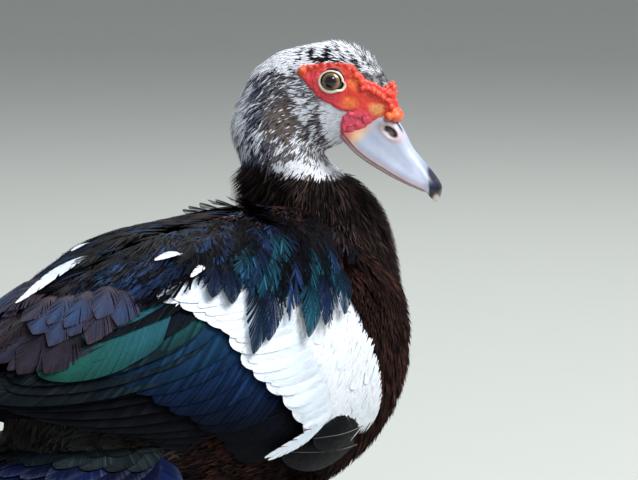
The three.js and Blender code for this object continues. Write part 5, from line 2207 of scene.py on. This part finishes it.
    def past_black(self, own: Array) -> Array:
        """How far forwards of the line that black begins at, in mm."""
        return own[:, 0] + 0.95 * (own[:, 2] - through(self.edge, own[:, 0])) - self.black_from

    def from_nostril(self, p: Array, q: Array) -> Array:
        """Distance from the nostril's middle, 1 on its rim."""
        wide, high = self.nostril_size
        return np.hypot((p - self.nostril[0]) / wide, (q - self.nostril[1]) / high)

    def upper_colours(self, own: Array) -> Array:
        """Bluish white horn, orange and pink at its root, pink along its edge, dark in the nostril.

        The dark in the nostril is painted shade in its hole.

        Args:
            own: each point in the frame of the bill, with the share of the nostril there.
        Returns:
            One colour for each point.
        """
        p, y, q, hole = own.T
        body = rows_of("#b3bbcd", len(p))
        body = blend(body, "#a0acc4", smooth(0.35, 0.75, grain(own[:, :3], 6.0, 21)) * 0.5)
        edge = q - through(self.edge, p)
        body = blend(body, "#e3bfbc", smooth(3.2, 0.8, edge) * 0.75)
        root = smooth(10, 3, p + 0.28 * (q - 8) ** 2 / 12)
        body = blend(body, "#f2bb7c", root * 0.8)
        body = blend(body, "#e27f78", smooth(4.5, 0, p + 0.15 * q) * 0.8)
        slit = smooth(1.1, 0.5, np.abs(np.abs(y) - 2.6)) * smooth(14.5, 15.5, p) * smooth(23, 20, p)
        body = blend(body, "#1c1a24", slit * smooth(16, 20, q))
        near = smooth(-7, 0, self.past_black(own))
        body = blend(blend(body, "#5d6c90", near * 0.5), "#1e2136", self.blackness(own))
        rim = smooth(2.0, 1.2, self.from_nostril(p, q))
        body = blend(body, "#c9a79d", rim * 0.6)
        # Painted shade: the nostril's hole is painted dark
        return blend(body, "#3a211c", np.clip(hole * 1.25, 0, 1))

    def piece(
        self, name: str, node: str, form: tuple[Array, list[Array]], tint: Array, finish: Finish,
        own: Array,
    ) -> None:
        """Makes one piece of horn and hangs it in its node's place.

        Args:
            name: its name.
            node: the solid's name.
            form: points and faces.
            tint: one linear colour, or one for each point.
            finish: what it is made of.
            own: each point in the frame of the bill, with the share of the nostril there.
        """
        maker = MeshMaker()
        flat = np.stack([(own[:, 0] + 6) / 72, 0.5 + np.arctan2(own[:, 1], own[:, 2] + 2) / 7], -1)
        maker.add(*form, tint, flat)
        made = maker.build(name, finish)
        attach(made, "root")
        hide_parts(node)


# Legs


@dataclass(frozen=True)
class Toe:
    """A toe: degrees from straight ahead, length and radius at the root."""

    bearing: float
    long: float
    thick: float


@dataclass(frozen=True)
class Leg:
    """Feathered thigh, scaly shank and webbed foot."""

    side: Side
    hip: tuple = (4.0, 38.0, 112.0 + RAISE)
    hock: tuple = (-20.0, 43.0, 40.0 + RAISE)
    sole: tuple = (4.0, 44.0, 7.0)
    ankle: float = 11.0
    radius: float = 5.2
    web: float = 1.8
    claw_from: float = 0.93
    toes: tuple = (Toe(-24, 58, 5.0), Toe(4, 70, 5.4), Toe(30, 64, 5.0), Toe(172, 17, 3.6))

    def limb(self, rings: Array, around: int) -> tuple[Array, list[Array]]:
        """A closed tube through rows of centre x, y, z, half depth and half width.

        Args:
            rings: one row for each ring.
            around: how many points a ring has.
        Returns:
            Points and faces.
        """
        a = round_angles(around)[None]
        x, y, z, fore, wide = (rings[:, k : k + 1] for k in range(5))
        points = np.stack([x + fore * np.cos(a), self.side.value * (y + wide * np.sin(a)), z + 0 * a], -1)
        return tube(points)

    def dense(self, knots: list[tuple], count: int) -> Array:
        """Rings of many stations, read from a few knots whose first value is the place.

        Args:
            knots: place and sizes of each.
            count: how many rings.
        Returns:
            The sizes of each ring.
        """
        t = np.linspace(knots[0][0], knots[-1][0], count)
        place, *columns = zip(*knots)
        return np.stack([through(list(zip(place, column)), t) for column in columns], -1)

    def thigh(self, depth: float) -> tuple[Array, list[Array]]:
        """The thigh's form, thinner by the coat's depth.

        Args:
            depth: mm that it lies inside the solid.
        Returns:
            Points and faces.
        """
        knots = [(0, 34, 22), (0.25, 36, 24), (0.48, 31, 22), (0.7, 22, 17), (0.87, 13, 11), (0.96, 8.5, 8)]
        sizes = self.dense(knots, 40) - depth
        t = np.linspace(0, 0.96, 40)[:, None]
        centre = np.array(self.hip) * (1 - t) + np.array(self.hock) * t
        return self.limb(np.concatenate([centre, sizes.clip(3.5)], 1), 40)

    def shank(self) -> tuple[Array, list[Array]]:
        """The bare shank, from the hock's knot to the ankle."""
        knots = [
            (0, 1.1, 1), (0.12, 1.45, 1.2), (0.36, 1.2, 1), (0.62, 1, 0.85), (0.85, 1.05, 0.95),
            (1, 1.35, 1.3),
        ]
        sizes = self.dense(knots, 50) * self.radius * 0.97
        t = np.linspace(0.0, 1, 50)[:, None]
        z = (self.hock[2] + 6) * (1 - t) + (self.ankle - 3) * t
        low = (self.hock[2] - z) / (self.hock[2] - self.sole[2])
        x = self.hock[0] + (self.sole[0] - self.hock[0]) * low
        y = self.hock[1] + (self.sole[1] - self.hock[1]) * low
        return self.limb(np.concatenate([x, y, z, sizes], 1), 32)

    def toe_line(self, toe: Toe, t: Array) -> Array:
        """Places along a toe on the floor.

        Args:
            toe: which toe.
            t: how far along, from 0 to 1.
        Returns:
            The places.
        """
        turn = math.radians(toe.bearing) * self.side.value
        way = np.array([math.cos(turn), math.sin(turn), 0])
        start = np.array([self.sole[0], self.side.value * self.sole[1], 0])
        return start + np.asarray(t)[..., None] * toe.long * way

    def toe_form(self, toe: Toe) -> tuple[Array, list[Array]]:
        """One toe, thicker at each joint, with a flat sole.

        Args:
            toe: which toe.
        Returns:
            Points and faces.
        """
        knots = [
            (-0.05, 0.9), (0.12, 1), (0.36, 0.74), (0.46, 0.86), (0.6, 0.66), (0.72, 0.76), (0.9, 0.6),
            (0.97, 0.3),
        ]
        t = np.linspace(-0.05, 0.97, 60)
        r = (through(knots, t) * toe.thick)[:, None]
        line = self.toe_line(toe, t)[:, None]
        way = unit(line[-1] - line[0])[0]
        across = np.cross(way, UP)
        a = round_angles(24)[None]
        points = line + across * (r * np.cos(a))[..., None]
        points[..., 2] = np.maximum(0.15, r * 1.1 * (0.78 + np.sin(a)))
        return tube(points)

    def claw(self, toe: Toe) -> tuple[Array, list[Array]]:
        """A blunt curved claw at the toe's end.

        Args:
            toe: which toe.
        Returns:
            Points and faces.
        """
        t = np.linspace(0, 1, 16)[:, None]
        a = round_angles(16)[None]
        way = unit(self.toe_line(toe, 1.0) - self.toe_line(toe, 0.0))
        across = np.cross(way, UP)
        reach = toe.long * 0.15 if toe.long > 20 else 4.0
        line = self.toe_line(toe, np.array([self.claw_from]))[0] + way * reach * t
        r = toe.thick * 0.5 * (1 - t) ** 0.7 + 0.12
        height = toe.thick * 0.62 * (1 - t**1.6) + 0.5
        points = line[:, None] + across * (r * 0.8 * np.cos(a))[..., None]
        points[..., 2] = np.maximum(0.1, height + r * np.sin(a))
        return tube(points)

    def webs(self) -> tuple[Array, list[Array]]:
        """The skin between the toes, thicker by the toes, its front edge drawn in."""
        points, faces, start = [], [], 0
        for first, second in ((0, 1), (1, 2)):
            u, v = np.meshgrid(np.linspace(0, 1, 30), np.linspace(0, 1, 24), indexing="ij")
            a = self.toe_line(self.toes[first], self.claw_from * u)
            b = self.toe_line(self.toes[second], self.claw_from * u)
            flat = a * (1 - v[..., None]) + b * v[..., None]
            heel = self.toe_line(self.toes[1], 0.0)
            flat = heel + (flat - heel) * (1 - 0.17 * 4 * v * (1 - v) * u)[..., None]
            thick = self.web * (0.55 + 0.45 * np.abs(2 * v - 1) ** 2)
            top = flat + UP * (thick + 0.25 * np.sin(u * 60) * 4 * v * (1 - v))[..., None]
            low = flat + UP * 0.2
            ring = np.concatenate([top, low[:, ::-1]], 1)
            p, f = tube(ring)
            points.append(p)
            faces += [g + start for g in f]
            start += len(p)
        return np.concatenate(points), faces

    def build(self) -> None:
        """Makes shank, foot and claws."""
        label = self.side.label
        heel = np.array([[0.2, 7.0, 6.2], [5, 7.6, 6.6], [self.ankle + 0.5, 6.6, 6.2]])
        centre = np.array([self.sole[0] - 1, self.sole[1]])
        knuckle = self.limb(np.array([[*centre, *row] for row in heel]), 32)
        shells = [self.shank(), knuckle, self.webs(), *[self.toe_form(toe) for toe in self.toes]]
        made = fused(f"foot_skin_{label}", shells, 0.75, 3)
        mesh = made.data
        points = places_of(mesh)
        points[:, 2] = np.maximum(points[:, 2], 0.02)
        mesh.vertices.foreach_set("co", ((points + SHIFT) / 1000).astype(np.float32).ravel())
        spots = smooth(0.42, 0.66, grain(points, 5.0, 33))
        tint = blend(rows_of("#2b2a28", len(points)), "#8a7a4e", spots * 0.6)
        tint = blend(tint, "#1d1c1c", smooth(6, 3, points[:, 2]) * 0.4)
        dress(mesh, LEG_SCALES, tint)
        corners = read(mesh.loops, "vertex_index", 1, np.int32)
        at = points[corners]
        under = read(mesh.vertices, "normal", 3)[corners, 2] < 0
        foot = at[:, 2] < 14
        u = np.where(foot, (at[:, 0] + 20) / 110 * 0.5 + np.where(under, 0.5, 0), (at[:, 2] - 10) / 70)
        v = np.where(foot, (np.abs(at[:, 1]) - 5) / 90 * 0.6, 0.65 + (at[:, 0] + 30) / 60 * 0.3)
        write_map(mesh, "OFBake", np.stack([u, v], -1))
        mesh.update()
        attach(made, "root")
        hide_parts(f"shank_{label}", f"foot_{label}")
        claws = MeshMaker()
        for toe in self.toes:
            points, faces = self.claw(toe)
            claws.add(points, faces, linear("#1f1c1b"), np.zeros((len(points), 2)) + 0.5)
        horn = claws.build(f"claws_{label}", CLAW_HORN)
        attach(horn, "root")


# Coat of the whole bird


class Plumage:
    """All small plumes, region by region."""

    def __init__(self, skin: bpy.types.Object) -> None:
        """Takes the skin that the plumes grow on."""
        self.coat = Coat(skin, 7)
        self.markings = Markings()

    def bare(self, points: Array) -> Array:
        """Where the face is bare, or bill and eye stand.

        Args:
            points: places in mm.
        Returns:
            Whether, for each place.
        """
        local = HEAD.local(points)
        x, y, z = local.T
        bill = (x > 43) & (z < 8) | (x > 30) & (z < -8 + (x - 30) * 0.2) & (z > -8 - (x - 27) * 1.05)
        ridge = (x > 52) & (z < 21)
        return (inside(Face().mask, x, z) & (np.abs(y) > 4) | bill | ridge) & (collar_height(points) > 0)

    def head(self, points: Array) -> Array:
        """Feathered skin of the head and the white throat ring."""
        return (ring_height(points) > -1) & (neck_root_height(points) > 0) & ~self.bare(points)

    def neck(self, points: Array) -> Array:
        """Skin of the neck, down to the torso and a little up the nape."""
        x = HEAD.local(points)[..., 0]
        return (ring_height(points) <= -1 + 5 * smooth(-8, -18, x)) & (neck_root_height(points) > -8)

    def bristling(self, points: Array) -> Array:
        """Plumes stand off most at the foot of the nape."""
        x = HEAD.local(points)[..., 0]
        return 1 + 2.2 * smooth(-10, -22, x) * smooth(-26, -8, ring_height(points))

    def body(self, points: Array) -> Array:
        """Skin of the body that no wing or back feather hides.

        Args:
            points: places in mm.
        Returns:
            Whether, for each place.
        """
        x, y, z = points.T
        turn = np.degrees(np.arctan2(np.abs(y), z - SPINE - RAISE))
        hidden = (turn < 92) & (x < 40) & (x > -120) & (turn > 24)
        return (neck_root_height(points) <= -8) & ~hidden

    def build(self) -> None:
        """Grows every piece."""
        marks, grow = self.markings, self.coat.grow
        face = Tuft(spacing=0.9, length=6.0, width=0.8, rise=0.6, sink=0.4, thick=0.06)
        crest = Tuft(spacing=1.3, length=10.5, width=0.9, rise=2.0, sink=0.8, stations=4, thick=0.1)
        throat = Tuft(spacing=1.22, length=11.0, width=0.75, rise=3.0, sink=0.9, stations=4)
        breast = Tuft(spacing=2.6, length=18.0, width=2.6, rise=4.2, sink=1.2, prongs=3)
        belly = Tuft(spacing=4.4, length=19.0, width=5.2, rise=2.6, sink=1.2, stations=3, prongs=3)

        def short_in_front(points: Array) -> Array:
            """Plumes are shortest by the bill and round the eye.

            Args:
                points: places in mm.
            Returns:
                The share of the full length.
            """
            x, _, z = HEAD.local(points).T
            near_eye = smooth(9, 16, np.hypot(x - 20, z - 23))
            return (0.42 + 0.58 * smooth(52, 10, x)) * (0.6 + 0.4 * near_eye)

        def crest_here(points: Array) -> Array:
            """The back of the head and the nape."""
            x, _, z = HEAD.local(points).T
            return self.head(points) & (x < -12) & (z < 36)

        def fronts(points: Array) -> Array:
            """Breast and shoulders."""
            return self.body(points) & (points[:, 0] > 10)

        def rears(points: Array) -> Array:
            """Belly, flanks, rump and thighs."""
            return self.body(points) & (points[:, 0] <= 10)

        def brushed_up(points: Array) -> Array:
            """Plumes stand up on the forehead."""
            x, _, z = HEAD.local(points).T
            return 1 + 3.0 * smooth(16, 28, x) * smooth(30, 36, z)

        for side in Side:
            label, sign = side.label, side.value

            def half_head(points: Array) -> Array:
                """This side of the head."""
                return self.head(points) & (HEAD.local(points)[..., 1] * sign >= 0)

            def half_breast(points: Array) -> Array:
                """This side of the breast."""
                return fronts(points) & (points[..., 1] * sign >= 0)

            grow(f"head_plumes_{label}", face, half_head, marks.head, short_in_front, brushed_up, HEAD_PLUMES)
            grow(f"breast_plumes_{label}", breast, half_breast, marks.body_plumes)
        grow("crest_plumes", crest, crest_here, marks.head, None, None, HEAD_PLUMES)
        grow("neck_plumes", throat, self.neck, marks.neck_plumes, None, self.bristling)
        grow("belly_plumes", belly, rears, marks.body_plumes)


# Room


@dataclass(frozen=True)
class Studio:
    """Pale floor, soft lights and the camera of the photograph's view.

    azimuth and elevation are in degrees, distance in m, photo_width in pixels and the rest in mm. aim is how
    far to the right of the head and below it the camera aims.
    """

    azimuth: float = 52.0
    elevation: float = 8.0
    distance: float = 4.0
    mm_per_pixel: float = 0.58
    photo_width: int = 638
    floor_reach: float = 14000.0
    sensor: float = 36.0
    aim: tuple = (11.02, 69.6)

    def build(self) -> None:
        """Sets the floor, the lights and the camera."""
        self.floor()
        self.sky()
        self.light("key", (0.6, -1.3, 2.0), 1.5, 70.0, "#ffffff")
        self.light("fill", (-1.4, -1.9, 1.9), 0.9, 26.0, "#eef3ff")
        self.light("rim", (1.6, 1.0, 1.7), 1.4, 22.0, "#ffffff")
        self.camera()

    def floor(self) -> None:
        """A large pale sheet."""
        maker = MeshMaker()
        corners = np.array([[-1, -1, 0], [1, -1, 0], [1, 1, 0], [-1, 1, 0]]) * self.floor_reach
        maker.add(corners - SHIFT, [np.array([[0, 1, 2, 3]])], linear("#b9bdb8"))
        made = maker.build("floor", FLOOR_PAINT)

    def sky(self) -> None:
        """Even pale light from all round."""
        world = bpy.data.worlds.new("pale_room")
        world.use_nodes = True
        ground = world.node_tree.nodes["Background"]
        ground.inputs["Color"].default_value = (*linear("#e8edf2"), 1)
        ground.inputs["Strength"].default_value = 0.4
        bpy.context.scene.world = world

    def light(self, name: str, at: tuple, size: float, watts: float, colour: str) -> None:
        """One soft lamp that looks at the bird.

        Args:
            name: its name.
            at: where it hangs, in m.
            size: its width in m.
            watts: its power.
            colour: sRGB hex.
        """
        lamp = bpy.data.lights.new(name, "AREA")
        lamp.shape, lamp.size, lamp.energy, lamp.color = "DISK", size, watts, linear(colour)
        made = bpy.data.objects.new(name, lamp)
        made.location = at
        made.rotation_euler = (Vector((0, 0, 0.2)) - Vector(at)).to_track_quat("-Z", "Y").to_euler()
        bpy.context.scene.collection.objects.link(made)

    def camera(self) -> None:
        """A long lens from behind the bird's right shoulder, a little above it."""
        az, el = math.radians(self.azimuth), math.radians(self.elevation)
        right = np.array([math.cos(az), -math.sin(az), 0])
        up = np.array([math.sin(el) * math.sin(az), math.sin(el) * math.cos(az), math.cos(el)])
        back = np.cross(right, up)
        head = np.array(HEAD.at) + SHIFT
        target = (head + right * self.aim[0] - up * self.aim[1]) / 1000
        lens = bpy.data.cameras.new("camera")
        lens.sensor_width, lens.clip_end = self.sensor, 60.0
        lens.lens = self.sensor * self.distance * 1000 / (self.photo_width * self.mm_per_pixel)
        made = bpy.data.objects.new("camera", lens)
        place = np.stack([right, up, back, target + back * self.distance], 1)
        made.matrix_world = Matrix([*place.tolist(), [0, 0, 0, 1]])
        bpy.context.scene.collection.objects.link(made)
        bpy.context.scene.camera = made


def main() -> None:
    """Builds the bird piece by piece and writes how large it is."""
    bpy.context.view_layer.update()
    Studio().build()
    bpy.context.scene.view_settings.view_transform = "Standard"
    skin = Skin().build()
    log.info("skin: %d faces", len(skin.data.polygons))
    Plumage(skin).build()
    for side in Side:
        Wing(side).build()
        Mantle(side).build()
        Eye(side).build()
        Leg(side).build()
    Tail().build()
    Face().build()
    Bill().build()


if __name__ == "__main__":
    logging.basicConfig(level=logging.INFO, format="%(name)s: %(message)s")
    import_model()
    SHIFT = frame_shift()
    main()
